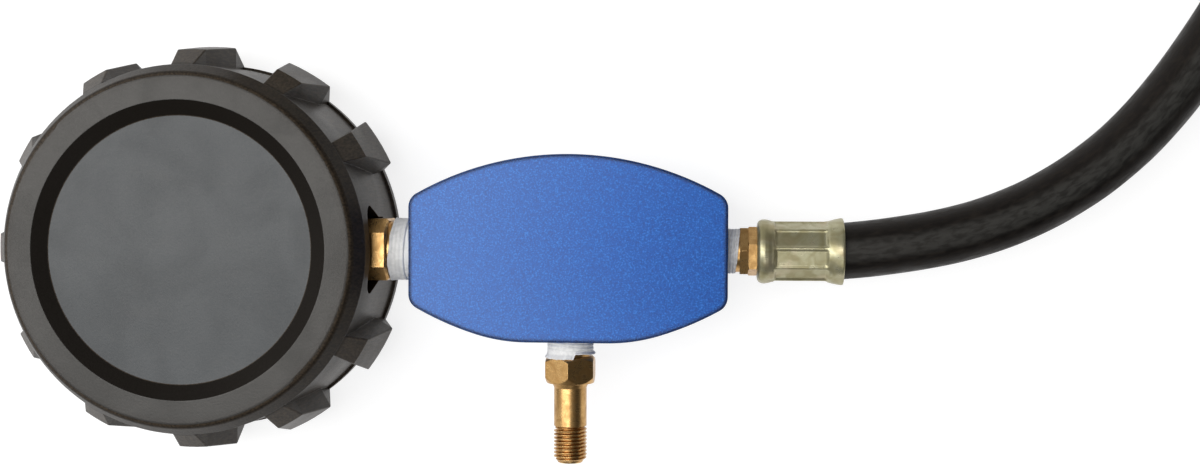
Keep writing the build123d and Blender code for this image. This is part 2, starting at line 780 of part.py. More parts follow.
with BuildPart() as movement_front_plate:
    add(movement_plate(front_plate_height))
    add(posts(gauge_base.offset(dial_back_height), dial_screw_places, dial_screw_head_radius, boss_length))
    add(posts(gauge_base.offset(dial_back_height), dial_screw_places, dial_screw_radius,
              boss_length + plate_thickness), mode=Mode.SUBTRACT)
movement_front_plate.part.label = "movement_front_plate"
export_step(movement_front_plate.part, "parts/movement_front_plate.step")

with BuildPart() as movement_back_plate:
    add(movement_plate(back_plate_height))
    add(posts(gauge_base.offset(back_plate_height), movement_screw_places, movement_screw_radius + slip_fit,
              plate_thickness), mode=Mode.SUBTRACT)
movement_back_plate.part.label = "movement_back_plate"
export_step(movement_back_plate.part, "parts/movement_back_plate.step")

pillar_base = gauge_base.offset(front_plate_height + plate_thickness)
movement_pillars = posts(pillar_base, pillar_places, pillar_radius, pillar_length)
movement_pillars.label = "movement_pillars"
export_step(movement_pillars, "parts/movement_pillars.step")

with BuildPart() as movement_screws:
    add(posts(gauge_base.offset(back_plate_height), movement_screw_places, movement_screw_radius,
              plate_thickness + movement_screw_length))
    add(posts(gauge_base.offset(back_plate_height), movement_screw_places, movement_screw_head_radius,
              -movement_screw_head))
movement_screws.part.label = "movement_screws"
export_step(movement_screws.part, "parts/movement_screws.step")

# Hairspring: half turns whose radius grows by half a pitch each
hairspring_middle = hairspring_start + hairspring_width / 2
with BuildPart() as hairspring:
    with BuildLine(gauge_base.offset(hairspring_middle)) as spiral:
        start, heading = (hairspring_inner, 0), (0, 1)
        for half_turn in range(hairspring_half_turns):
            arc = JernArc(start, heading, hairspring_inner + hairspring_pitch * half_turn / 2, 180)
            start, heading = arc @ 1, arc % 1
    spring_origin = (gauge_x + hairspring_inner, gauge_y, hairspring_middle)
    with BuildSketch(Plane(origin=spring_origin, x_dir=(1, 0, 0), z_dir=(0, 1, 0))):
        Rectangle(hairspring_thickness, hairspring_width)
    sweep(path=spiral.wire())
hairspring.part.label = "hairspring"
export_step(hairspring.part, "parts/hairspring.step")
print("hairspring gap", round(hairspring_pitch - hairspring_thickness, 3))

# Manifold block, drilled from three sides
half_length, end_half = block_length / 2, block_end_height / 2
block_plane = Plane(origin=(gauge_x + block_middle, gauge_y, axis_height - block_thickness / 2))
side_port_radius = side_thread_radius + tape_inside
side_port_depth = side_thread_length + port_depth_spare
with BuildPart() as manifold_block:
    with BuildSketch(block_plane) as block_face:
        with BuildLine():
            Line((-half_length, -end_half), (-half_length, end_half))
            ThreePointArc((-half_length, end_half), (0, block_height / 2), (half_length, end_half))
            Line((half_length, end_half), (half_length, -end_half))
            ThreePointArc((half_length, -end_half), (0, -block_height / 2), (-half_length, -end_half))
        make_face()
        fillet(block_face.vertices(), block_corner)
        with Locations((0, -block_flat_reach - overrun)):
            Rectangle(block_length, 2 * overrun, mode=Mode.SUBTRACT)
        fillet(block_face.vertices().group_by(Axis.Y)[0], block_flat_round)
    extrude(amount=block_thickness)
    chamfer(manifold_block.faces().filter_by(Axis.Z).edges(), block_edge)
    add(posts(stem_base.offset(block_start), [(0, 0)], gauge_thread_radius + tape_inside,
              gauge_thread_length + port_depth_spare), mode=Mode.SUBTRACT)
    add(posts(stem_base.offset(block_end), [(0, 0)], side_port_radius, -side_port_depth), mode=Mode.SUBTRACT)
    add(posts(valve_base.offset(block_flat_reach), [(0, 0)], side_port_radius, -side_port_depth),
        mode=Mode.SUBTRACT)
    add(posts(stem_base.offset(block_start + gauge_thread_length), [(0, 0)], gallery_radius,
              block_length - gauge_thread_length - side_thread_length), mode=Mode.SUBTRACT)
    add(posts(valve_base, [(0, 0)], gallery_radius, block_flat_reach - side_thread_length),
        mode=Mode.SUBTRACT)
manifold_block.part.label = "manifold_block"
export_step(manifold_block.part, "parts/manifold_block.step")


# Sealing tape: a sleeve pressed in the port, with its loose wraps ridged outside
nipple_inner_end = block_end - side_thread_length
valve_inner_end = block_flat_reach - side_thread_length


def tape_outline(thread_radius, inner_end, mouth, outer_end):
    """From the sleeve's end in the port, past the mouth at the block's face, to the shoulder."""
    port_radius, ridge_radius = thread_radius + tape_inside, thread_radius + tape_outside
    wrap = (outer_end - mouth) / tape_wraps
    points = [(inner_end, thread_radius), (inner_end, port_radius), (mouth, port_radius)]
    for turn in range(tape_wraps):
        points.append((mouth + wrap * turn, ridge_radius - tape_ridge))
        points.append((mouth + wrap * turn + wrap / 2, ridge_radius))
    return points + [(outer_end, ridge_radius - tape_ridge), (outer_end, thread_radius)]


gauge_tape_outline = tape_outline(gauge_thread_radius, thread_end - stem_edge, block_start, stem_shoulder)
gauge_port_tape = turned(stem_base, gauge_tape_outline)
gauge_port_tape.label = "gauge_port_tape"
export_step(gauge_port_tape, "parts/gauge_port_tape.step")

hose_tape_outline = tape_outline(side_thread_radius, nipple_inner_end + stem_edge, block_end,
                                 nipple_hex_start)
hose_port_tape = turned(stem_base, hose_tape_outline)
hose_port_tape.label = "hose_port_tape"
export_step(hose_port_tape, "parts/hose_port_tape.step")

valve_tape_outline = tape_outline(side_thread_radius, valve_inner_end + stem_edge, block_flat_reach,
                                  valve_hex_start)
valve_port_tape = turned(valve_base, valve_tape_outline)
valve_port_tape.label = "valve_port_tape"
export_step(valve_port_tape, "parts/valve_port_tape.step")

# Tank valve
valve_hex_end = valve_hex_start + valve_hex_length
valve_neck_end = valve_hex_end + valve_neck_length
with BuildPart() as valve_stem:
    add(hexagon(valve_base, valve_hex_start, valve_hex_length, valve_hex_flats))
    with BuildSketch(axis_plane(valve_base)):
        with BuildLine():
            Polyline((valve_inner_end, 0), (valve_inner_end, side_thread_radius - stem_edge),
                     (valve_inner_end + stem_edge, side_thread_radius),
                     (valve_hex_start, side_thread_radius), (valve_hex_end, valve_neck_radius),
                     (valve_neck_end, valve_neck_radius), (valve_neck_end, valve_body_radius),
                     (valve_body_end, valve_body_radius),
                     (valve_body_end + valve_edge / 2, valve_thread_radius),
                     (valve_reach - valve_edge, valve_thread_radius),
                     (valve_reach, valve_thread_radius - valve_edge), (valve_reach, 0), close=True)
        make_face()
    revolve(axis=valve_axis)
    add(posts(valve_base.offset(valve_reach), [(0, 0)], valve_core_radius, -valve_core_depth),
        mode=Mode.SUBTRACT)
    add(posts(valve_base.offset(valve_inner_end), [(0, 0)], valve_bore, valve_reach - valve_inner_end),
        mode=Mode.SUBTRACT)
valve_stem.part.label = "valve_stem"
export_step(valve_stem.part, "parts/valve_stem.step")

# Valve core: threaded body with its barrel, gasket, sprung pin and rubber cup
core_base = Plane(origin=valve_base.offset(valve_reach).origin, x_dir=(1, 0, 0), z_dir=(0, 1, 0))
core_axis = Axis(core_base.origin, core_base.z_dir)
core_body_end = core_body_start + core_body_length
barrel_inner = barrel_radius - barrel_wall
with BuildPart() as core_body:
    with BuildSketch(axis_plane(core_base)):
        with BuildLine():
            Polyline((core_body_start, core_hole_radius), (core_body_start, valve_core_radius - slip_fit),
                     (core_body_end, valve_core_radius - slip_fit), (core_body_end, barrel_radius),
                     (barrel_end, barrel_radius), (barrel_end, core_hole_radius),
                     (barrel_end - barrel_lip, core_hole_radius), (barrel_end - barrel_lip, barrel_inner),
                     (spring_room_start, barrel_inner), (spring_room_start, core_hole_radius), close=True)
        make_face()
    revolve(axis=core_axis)
    with BuildSketch(core_base.offset(core_body_start)):
        Rectangle(2 * valve_core_radius, core_slot)
    extrude(amount=core_slot_depth, mode=Mode.SUBTRACT)
core_body.part.label = "core_body"
export_step(core_body.part, "parts/core_body.step")

core_gasket_end = core_body_end + core_gasket_length
core_gasket = turned(core_base, [(core_body_end, barrel_radius), (core_body_end, valve_core_radius),
                                 (core_gasket_end, valve_core_radius), (core_gasket_end, barrel_radius)])
core_gasket.label = "core_gasket"
export_step(core_gasket, "parts/core_gasket.step")

collar_start = spring_room_start + pin_collar / 2
cup_start = barrel_end + cup_gap
pin_end = cup_start + cup_length + pin_end_spare
pin_outline = [(pin_tip, 0), (pin_tip, pin_button_radius), (pin_tip + pin_button, pin_button_radius),
               (pin_tip + pin_button, pin_radius), (collar_start, pin_radius),
               (collar_start, pin_collar_radius), (collar_start + pin_collar, pin_collar_radius),
               (collar_start + pin_collar, pin_radius), (pin_end, pin_radius), (pin_end, 0)]
core_pin = turned(core_base, pin_outline)
core_pin.label = "core_pin"
export_step(core_pin, "parts/core_pin.step")

cup_end = cup_start + cup_length
core_cup = turned(core_base, [(cup_start, pin_radius), (cup_start, cup_radius), (cup_end, cup_radius),
                              (cup_end, pin_radius)])
core_cup.label = "core_cup"
export_step(core_cup, "parts/core_cup.step")

spring_room = barrel_end - barrel_lip - collar_start - pin_collar
core_spring_pitch = (spring_room - core_spring_wire) / core_spring_turns
with BuildPart() as core_spring:
    spring_base = core_base.offset(collar_start + pin_collar + core_spring_wire / 2)
    coil_path = Helix(core_spring_pitch, core_spring_pitch * core_spring_turns, core_spring_radius,
                      center=spring_base.origin, direction=spring_base.z_dir)
    with BuildSketch(Plane(origin=coil_path @ 0, z_dir=coil_path % 0)):
        RegularPolygon(core_spring_wire / 2, wire_sides)
    sweep(path=coil_path)
core_spring.part.label = "core_spring"
export_step(core_spring.part, "parts/core_spring.step")

# Pipe nipple in the hose port
nipple_hex_end = nipple_hex_start + nipple_hex_length
with BuildPart() as hose_nipple:
    add(hexagon(stem_base, nipple_hex_start, nipple_hex_length, nipple_hex_flats))
    with BuildSketch(axis_plane(stem_base)):
        with BuildLine():
            Polyline((nipple_inner_end, 0), (nipple_inner_end, side_thread_radius - stem_edge),
                     (nipple_inner_end + stem_edge, side_thread_radius),
                     (nipple_hex_start, side_thread_radius), (nipple_hex_end, spigot_radius),
                     (nipple_hex_end, 0), close=True)
        make_face()
    revolve(axis=stem_axis)
    add(posts(stem_base.offset(nipple_inner_end), [(0, 0)], nipple_bore, nipple_hex_end - nipple_inner_end),
        mode=Mode.SUBTRACT)
    add(posts(stem_base.offset(nipple_hex_end), [(0, 0)], spigot_radius, -spigot_length), mode=Mode.SUBTRACT)
hose_nipple.part.label = "hose_nipple"
export_step(hose_nipple.part, "parts/hose_nipple.step")


# Insert in each end of the hose, crimped ferrule round it
def insert_tail():
    """The ringed tail that the hose is pushed on, from the ferrule's domed end into the hose."""
    points = [(insert_neck_length, insert_neck_radius), (insert_neck_length, insert_tail_radius)]
    ring_step = (insert_tail_length - insert_neck_length) / (insert_rings + 1)
    for ring in range(insert_rings):
        low = insert_neck_length + ring_step * (ring + 1)
        points += [(low - ring_step / 2, insert_tail_radius - insert_ring),
                   (low, insert_tail_radius - insert_ring), (low, insert_tail_radius)]
    tail_end_radius = insert_tail_radius - insert_ring
    return points + [(insert_tail_length, tail_end_radius), (insert_tail_length, insert_bore)]


def crimped_ferrule(base):
    """The ferrule from its domed end, along the axis of base, to its flared mouth."""
    waist_middle = (ferrule_waist_start + ferrule_waist_end) / 2
    dent_floor = ferrule_waist_radius - ferrule_dent_depth
    with BuildPart() as ferrule:
        with BuildSketch(axis_plane(base)):
            with BuildLine():
                dome = ThreePointArc((0, ferrule_dome_start), ferrule_dome_rise,
                                     (ferrule_dome_at, ferrule_dome_radius))
                Polyline(dome @ 1, (ferrule_waist_start, ferrule_waist_radius),
                         (ferrule_waist_end, ferrule_waist_radius),
                         (ferrule_length - ferrule_mouth_round, ferrule_mouth_radius),
                         (ferrule_length, ferrule_mouth_radius), (ferrule_length, hose_radius),
                         (ferrule_grip_end, hose_grip_radius), (insert_neck_length, hose_grip_radius),
                         (insert_neck_length, insert_neck_radius), (0, insert_neck_radius),
                         (0, ferrule_dome_start))
            make_face()
        revolve(axis=Axis(base.origin, base.z_dir))
        for dent in range(ferrule_dents):
            dent_angle = 360 / ferrule_dents * (dent + 0.5) + ferrule_dent_turn
            out = base.y_dir.rotate(Axis((0, 0, 0), base.z_dir), dent_angle)
            dent_origin = base.offset(waist_middle).origin + out * dent_floor
            with BuildSketch(Plane(origin=dent_origin, x_dir=base.z_dir, z_dir=out)):
                RectangleRounded(ferrule_waist_end - ferrule_waist_start, ferrule_dent_width,
                                 ferrule_dent_corner)
            extrude(amount=ferrule_dome_radius - dent_floor, mode=Mode.SUBTRACT)
    return ferrule.part


ferrule_base = stem_base.offset(ferrule_start)
spigot_end = -insert_hex_length - spigot_length + slip_fit
with BuildPart() as hose_insert:
    add(hexagon(ferrule_base, -insert_hex_length, insert_hex_length, insert_hex_flats, insert_hex_turn))
    with BuildSketch(axis_plane(ferrule_base)):
        with BuildLine():
            Polyline((spigot_end, insert_bore), (spigot_end, spigot_radius),
                     (-insert_hex_length, spigot_radius), (0, insert_neck_radius), *insert_tail(),
                     close=True)
        make_face()
    revolve(axis=stem_axis)
    add(posts(ferrule_base.offset(spigot_end), [(0, 0)], insert_bore, insert_tail_length - spigot_end),
        mode=Mode.SUBTRACT)
hose_insert.part.label = "hose_insert"
export_step(hose_insert.part, "parts/hose_insert.step")

hose_ferrule = crimped_ferrule(ferrule_base)
hose_ferrule.label = "hose_ferrule"
export_step(hose_ferrule, "parts/hose_ferrule.step")


# Hose: the stub gripped in a ferrule, the free run and the coil
def hose_stub(base):
    """The hose's end, squeezed in the ferrule whose domed end is at base."""
    return turned(base, [(insert_neck_length, insert_tail_radius), (insert_neck_length, hose_grip_radius),
                         (ferrule_grip_end, hose_grip_radius), (ferrule_length, hose_radius),
                         (ferrule_length, hose_bore), (insert_tail_length, hose_bore),
                         (insert_tail_length, insert_tail_radius)])


route = [Vector(hose_start.X + x, hose_start.Y + y, z) for (x, y), z in zip(hose_route, hose_heights)]
runs = [b - a for a, b in zip(route, route[1:])]
bend_radii = []
for before, after in zip(runs, runs[1:]):
    half_turn = radians(before.get_angle(after)) / 2
    bend_radii.append(bend_share * min(before.length, after.length) / tan(half_turn))
print("hose bend radii", [round(radius, 1) for radius in bend_radii])

with BuildPart() as hose_run:
    with BuildLine() as run_path:
        FilletPolyline(*route, radius=bend_radii)
    with BuildSketch(stem_base.offset(hose_exit)):
        Circle(hose_radius)
        Circle(hose_bore, mode=Mode.SUBTRACT)
    sweep(path=run_path.wire())
    free_volume = hose_run.part.volume
    add(hose_stub(ferrule_base))
hose_run.part.label = "hose_run"
export_step(hose_run.part, "parts/hose_run.step")
hose_section = pi * (hose_radius ** 2 - hose_bore ** 2)
run_length = run_path.wire().length
print("hose run length", round(run_length, 1))
print("hose run volume share", round(free_volume / (hose_section * run_length), 4))

coil_plane = Plane(origin=(0, 0, hose_rest_height))
with BuildPart() as hose_coil:
    with BuildLine(coil_plane) as coil_line:
        start, heading = (route[-1].X, route[-1].Y), (0, 1)
        for radius, turn in coil_bends:
            arc = JernArc(start, heading, radius, turn)
            start, heading = arc @ 1, arc % 1
    with BuildSketch(Plane(origin=route[-1], x_dir=(1, 0, 0), z_dir=(0, 1, 0))):
        Circle(hose_radius)
        Circle(hose_bore, mode=Mode.SUBTRACT)
    sweep(path=coil_line.wire())
    coil_end = coil_line.wire() @ 1
    end_origin = (coil_end.X - ferrule_length, coil_end.Y, hose_rest_height)
    end_base = Plane(origin=end_origin, x_dir=(0, 1, 0), z_dir=(1, 0, 0))
    add(hose_stub(end_base))
hose_coil.part.label = "hose_coil"
export_step(hose_coil.part, "parts/hose_coil.step")
coil_length = coil_line.wire().length
print("coil length", round(coil_length, 1), "free hose length", round(run_length + coil_length, 1))
end_gap = coil_end.Y - nut_flats / sqrt(3) - gauge_y - lug_front_radius
print("gap between the hose's end fitting and the boot", round(end_gap, 1))

end_ferrule = crimped_ferrule(end_base)
end_ferrule.label = "end_ferrule"
export_step(end_ferrule, "parts/end_ferrule.step")

# Far end: insert with a coned nose, and the swivel nut that turns on it
neck_end = -insert_hex_length - swivel_neck_length
collar_end = neck_end - swivel_collar_length
nose_end = collar_end - swivel_nose_length
with BuildPart() as end_insert:
    add(hexagon(end_base, -insert_hex_length, insert_hex_length, insert_hex_flats))
    with BuildSketch(axis_plane(end_base)):
        with BuildLine():
            Polyline((nose_end, insert_bore), (nose_end, swivel_nose_radius),
                     (collar_end, swivel_collar_radius), (neck_end, swivel_collar_radius),
                     (neck_end, swivel_neck_radius), (-insert_hex_length, swivel_neck_radius),
                     (0, insert_neck_radius), *insert_tail(), close=True)
        make_face()
    revolve(axis=Axis(end_base.origin, end_base.z_dir))
    add(posts(end_base.offset(nose_end), [(0, 0)], insert_bore, insert_tail_length - nose_end),
        mode=Mode.SUBTRACT)
end_insert.part.label = "end_insert"
export_step(end_insert.part, "parts/end_insert.step")

nut_start = -insert_hex_length - nut_gap
nut_end = nut_start - nut_length
nut_room = nut_start - nut_back_wall
with BuildPart() as swivel_nut:
    add(hexagon(end_base, nut_end, nut_length, nut_flats, nut_turn))
    with BuildSketch(axis_plane(end_base)):
        with BuildLine():
            Polyline((nut_start, 0), (nut_start, swivel_neck_radius + running_gap),
                     (nut_room, swivel_neck_radius + running_gap), (nut_room, nut_relief_radius),
                     (nut_room - nut_relief_length, nut_relief_radius),
                     (nut_room - nut_relief_length, nut_thread_radius),
                     (nut_end + nut_mouth, nut_thread_radius), (nut_end, nut_thread_radius + nut_mouth),
                     (nut_end, 0), close=True)
        make_face()
    revolve(axis=Axis(end_base.origin, end_base.z_dir), mode=Mode.SUBTRACT)
swivel_nut.part.label = "swivel_nut"
export_step(swivel_nut.part, "parts/swivel_nut.step")
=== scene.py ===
import json
import math

import bmesh
import bpy
from mathutils import Matrix, Vector, noise

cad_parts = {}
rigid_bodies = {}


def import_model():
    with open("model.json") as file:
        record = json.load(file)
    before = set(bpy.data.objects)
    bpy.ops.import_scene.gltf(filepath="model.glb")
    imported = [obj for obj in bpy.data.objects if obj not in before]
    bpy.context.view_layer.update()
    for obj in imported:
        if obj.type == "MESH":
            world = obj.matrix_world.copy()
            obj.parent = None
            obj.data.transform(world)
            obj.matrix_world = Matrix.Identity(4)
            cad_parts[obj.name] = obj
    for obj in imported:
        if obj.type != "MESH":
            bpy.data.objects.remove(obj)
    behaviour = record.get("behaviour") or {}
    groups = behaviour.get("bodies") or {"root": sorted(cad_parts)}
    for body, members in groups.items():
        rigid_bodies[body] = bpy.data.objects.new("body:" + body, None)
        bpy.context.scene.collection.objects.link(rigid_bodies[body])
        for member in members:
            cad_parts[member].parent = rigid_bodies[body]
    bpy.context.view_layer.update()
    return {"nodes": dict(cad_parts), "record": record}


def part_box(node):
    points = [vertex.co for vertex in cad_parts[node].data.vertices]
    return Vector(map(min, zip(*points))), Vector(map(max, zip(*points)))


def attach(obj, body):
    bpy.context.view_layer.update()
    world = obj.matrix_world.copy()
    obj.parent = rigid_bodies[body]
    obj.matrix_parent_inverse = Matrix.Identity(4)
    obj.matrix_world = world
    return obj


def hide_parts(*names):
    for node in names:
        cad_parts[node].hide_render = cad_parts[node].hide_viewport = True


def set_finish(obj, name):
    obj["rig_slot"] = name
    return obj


# Cooling system pressure tester: the gauge lies on its face in a rubber boot, +X runs along its stem to
# the hose and the boot's back looks up. The frame is in metres, and mm is one millimetre of it. Routes,
# outlines, hexagons, tapes and threads are written in plain millimetres, without mm beside them.
mm = 0.001
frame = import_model()

# Camera, as the photograph has it
eye = Vector((70.325, 15.035, 359.08)) * mm
look = Vector((-0.07805, -0.02906, -0.99653)).normalized()
upward = Vector((-0.00580, 0.99957, -0.02870))
lens_length = 44.1
sensor_width = 36.0
clip_near = 0.01
clip_far = 20.0

# Places that the pieces share, from the frame
dial_low, dial_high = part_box("dial_plate")
gauge_x, gauge_y = (dial_low.x + dial_high.x) / 2, (dial_low.y + dial_high.y) / 2
nipple_low, nipple_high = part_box("hose_nipple")
axis_height = (nipple_low.z + nipple_high.z) / 2
hose_axis = Vector((0, gauge_y, axis_height))
block_low, block_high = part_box("manifold_block")
ferrule_low, ferrule_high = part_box("hose_ferrule")
ferrule_start = Vector((ferrule_low.x, gauge_y, axis_height))
end_ferrule_low, end_ferrule_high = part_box("end_ferrule")
end_centre = (end_ferrule_low + end_ferrule_high) / 2
valve_low, valve_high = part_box("valve_stem")
valve_x = (valve_low.x + valve_high.x) / 2

# Hose: its corners from the ferrule's mouth, seen from above, the height of each, and its heading after
# them, in degrees from +X. Bends of (radius, turn in degrees) take it from there to its far end. Its line
# runs a little way into the ferrule at each end.
hose_radius = 6.5 * mm
hose_sides = 64
hose_resolution = 24
hose_order = 3
hose_uneven = 0.05 * mm
hose_uneven_size = 9 * mm
hose_inside = 2.4
hose_route = [(-hose_inside, 0), (11.4, 1.1), (33.4, 5.8), (52.4, 15.1), (69.4, 29.4), (86.1, 52.5),
              (99.3, 77.0), (108.4, 107.5), (108.4, 140.5)]
hose_heights = [17.8, 17.8, 17.0, 15.9, 14.3, 12.3, 10.0, 7.8, 7.8]
hose_heading = 90.0
hose_bends = [(74.0, 90.0), (70.0, 90.0), (70.0, -90.0)]
hose_bend_points = 4

# Boot: radii of the disc's edge, of where painted shade dims the painted sheen round it, and of the bands
# of painted shade in the groove and on the shoulder, which are (inner, outer, share). Fades are the widths
# that these blur over.
disc_edge = 30.6 * mm
disc_fade = 0.5 * mm
rim_shade_from = 37.6 * mm
rim_shade_to = 40.0 * mm
shade_bands = [(disc_edge, 35.4 * mm, 1.0), (rim_shade_to, 42.7 * mm, 0.5)]
inner_fade = 0.3 * mm
outer_fade = 0.4 * mm

# Block: distances from its hose end between which a painted sheen makes its dye paler
sheen_from = 10 * mm
sheen_to = 76 * mm

# Hexagons between the hose's tape and its ferrule: start, end, flats and first corner, measured from the
# ferrule's domed end, and the radii of the threads that show before them
nipple_hexagon = (-3.85, -1.95, 10.6, 87.0)
insert_hexagon = (-1.95, 0.1, 10.1, 72.4)
nipple_thread_radius = 4.85
insert_thread_radius = 3.9
hexagon_thread_length = 2.2
hexagon_bore_radius = 1.9
hexagon_chamfer = 0.16
hexagon_chamfer_depth = 0.4
hexagon_sides = 360
hexagon_step = 0.12
hexagon_sharp = 16.0

# Tank valve: (distance from the hose's axis, radius) round its outside and back through its bore
valve_flats = 11.2
valve_corner = 30.0
valve_outline = [(16.0, 4.6), (24.7, 4.6), (24.7, 5.3), (25.9, 6.47), (29.45, 6.47), (30.95, 5.5),
                 (31.0, 4.4), (31.2, 4.15), (31.9, 3.9), (32.1, 3.82), (41.0, 3.82), (41.5, 3.12),
                 (49.1, 3.12), (49.6, 2.85), (49.6, 2.6), (36.0, 2.6), (36.0, 1.6), (16.0, 1.6)]

# Crimped ferrule: (distance from its domed end, radius) along its outside and into its mouth. The sides of
# its dents are soft between two shares of their half width, and the mouth past them follows their waves.
ferrule_outline = [(0.0, 4.9), (0.04, 5.8), (0.18, 6.6), (0.55, 7.1), (1.1, 7.36), (1.8, 7.44),
                   (2.6, 7.32), (3.4, 7.06), (4.2, 6.95), (15.4, 6.95), (16.3, 7.08), (17.8, 7.46),
                   (18.9, 7.66), (19.4, 7.7), (19.68, 7.6), (19.75, 7.4), (19.67, 7.12), (19.4, 6.95),
                   (18.0, 6.7), (16.0, 6.45)]
ferrule_sides = 192
ferrule_step = 0.22
dent_count = 9
dent_depth = 0.6
dent_width = 4.0
dent_side = (0.9, 1.12)
dent_start = 3.8
dent_end = 16.3
dent_ramp = 0.7
dent_turn = 21.4
mouth_wave = 0.07
mouth_run = 3.0

# Sealing tape: its radius, how far it runs past its solid, its grooves as (distance from the block, depth,
# half width, step in radius past it), and its loose edge as (how far it is pulled back at angle 0, how far
# it wanders, how much it lifts, how far it is torn back on the side away from angle 0)
gauge_tape = {"radius": 7.3, "past": 0.1, "loose": (1.1, 0.3, 0.25, 0.0), "seed": 3.1,
              "grooves": [(1.45, 0.28, 0.16, 0.22), (2.4, 0.07, 0.3, 0.0), (3.35, 0.06, 0.3, 0.0),
                          (4.3, 0.05, 0.3, 0.0)]}
hose_tape = {"radius": 5.2, "past": 0.3, "loose": (1.1, 0.12, 0.0, 0.0), "seed": 7.7,
             "grooves": [(0.5, 0.1, 0.16, 0.0), (1.2, 0.12, 0.16, 0.0), (1.9, 0.1, 0.16, 0.0)]}
valve_tape = {"radius": 5.42, "past": 0.3, "loose": (0.1, 0.45, 0.9, 1.1), "seed": 5.3,
              "grooves": [(0.55, 0.16, 0.16, 0.12), (1.25, 0.14, 0.18, 0.0), (2.1, 0.1, 0.2, 0.0)]}
tape_sides = 144
tape_step = 0.07
tape_hidden = 0.5
tape_lean = 0.35
tape_tear = (-0.28, -0.2)

# How a tape wanders, as (waves round it, share, shift of its seed), its creases as (waves round it, waves
# along it, height), and the shares of its length over which its edge wanders, lifts and tucks in
tape_waves = [(1.6, 1.0, 0.0), (7.0, 0.45, 5.0)]
tape_crease = (2.2, 1.6, 0.03)
wander_share = 0.45
lift_share = 0.26
lift_mean = 0.6
lift_ragged = 0.4
tuck_share = 0.02
tuck_depth = 0.3

# Threads: outer radius, depth, pitch, and how far they start before their mount and stop short of its end.
# Across a pitch, a ridge stands up by crest less slope times the way from its middle, kept between none
# and all of its depth.
valve_thread = {"radius": 3.85, "depth": 0.74, "pitch": 0.845, "before": 0.75, "short": 0.3}
nut_thread = {"radius": 4.95, "depth": -0.5, "pitch": 1.2, "before": 0.0, "short": 0.0}
thread_sides = 48
thread_steps = 12
thread_crest = 1.5
thread_slope = 3.4

# Dial: its sweep and its zero in degrees, its top reading, and its ticks as (length, half width)
dial_sweep = 270.0
dial_zero = 45.0
dial_top = 30
dial_label_step = 5
fine_ticks = 4
scale_radius = 30.6 * mm
long_tick = (4.4 * mm, 0.42 * mm)
short_tick = (2.6 * mm, 0.16 * mm)
fine_tick = (1.2 * mm, 0.08 * mm)
number_radius = scale_radius - 8.4 * mm
number_size = 6.2 * mm
number_spread = 0.06 * mm
ink_height = 0.06 * mm

# Materials: the range that noise seldom leaves, and how many rays find each rounded edge
noise_low = 0.3
noise_high = 0.7
bevel_samples = 6

# Floor, world and lamps: the world's brightness is (height, level) on its left and on its right, which
# meet across X, and it is dimmed ahead, along Y. Lamps are (name, place, size, power).
floor_half = 20.0
floor_tone = 0.5
floor_seen_tone = 0.34
floor_glow = 0.8
world_left = [(0.0, 1.0), (0.12, 1.0), (0.3, 0.75), (0.6, 0.6), (0.85, 0.3)]
world_right = [(0.0, 1.0), (0.04, 0.7), (0.14, 0.2), (0.35, 0.05), (0.65, 0.06), (0.95, 0.2)]
world_across = (-0.6, 0.5)
world_ahead = (-0.95, -0.35)
world_dimmed = 0.35
lamps = [("key", (-0.43, 0.08, 0.93), (0.66, 1.2), 9.9), ("fill", (0.14, -0.52, 0.85), (0.44, 0.3), 0.8)]
lamp_target = Vector((0.03, 0.01, 0.0))


# Mesh code

def new_object(name, data):
    """An object for that data, linked to the scene."""
    made = bpy.data.objects.new(name, data)
    bpy.context.scene.collection.objects.link(made)
    return made


def piece(name, mesh, body="tester", slot=None, smooth=True):
    """An object for a mesh that is already in place, riding on a body."""
    made = new_object(name, mesh)
    for face in mesh.polygons:
        face.use_smooth = smooth
    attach(made, body)
    if slot:
        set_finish(made, slot)
    return made


def tube_mesh(name, rings, closed=False):
    """A mesh of rings of points, each joined to the next; closed joins the last to the first."""
    mesh = bpy.data.meshes.new(name)
    form = bmesh.new()
    rows = [[form.verts.new(point) for point in ring] for ring in rings]
    pairs = list(zip(rows, rows[1:]))
    if closed:
        pairs.append((rows[-1], rows[0]))
    for first, second in pairs:
        for k in range(len(first)):
            after = (k + 1) % len(first)
            form.faces.new((first[k], first[after], second[after], second[k]))
    bmesh.ops.recalc_face_normals(form, faces=form.faces)
    form.to_mesh(mesh)
    form.free()
    return mesh


def place(origin, along):
    """The matrix that puts a form built round +Z at origin, with its +Z along that direction."""
    return Matrix.Translation(origin) @ along.to_track_quat("Z", "Y").to_matrix().to_4x4()


def around(matrix, radius, angle, distance):
    """The frame's point for a radius and an angle round +Z and a distance along it, in millimetres."""
    return matrix @ (Vector((radius * math.cos(angle), radius * math.sin(angle), distance)) * mm)


def begins(box, along):
    """How far along a direction a box begins, in millimetres."""
    return min(corner.dot(along) for corner in box) / mm


def ease(value, low, high):
    """From 0 at low to 1 at high, without a corner at either end."""
    share = min(1.0, max(0.0, (value - low) / (high - low)))
    return share * share * (3 - 2 * share)


# Camera

camera_data = bpy.data.cameras.new("camera")
camera_data.sensor_fit = "HORIZONTAL"
camera_data.sensor_width = sensor_width
camera_data.lens = lens_length
camera_data.clip_start = clip_near
camera_data.clip_end = clip_far
camera = new_object("camera", camera_data)
bpy.context.scene.camera = camera
right = look.cross(upward).normalized()
turned = Matrix((right, right.cross(look), -look)).transposed()
camera.matrix_world = Matrix.Translation(eye) @ turned.to_4x4()
bpy.context.scene.view_settings.view_transform = "Standard"


# Hose

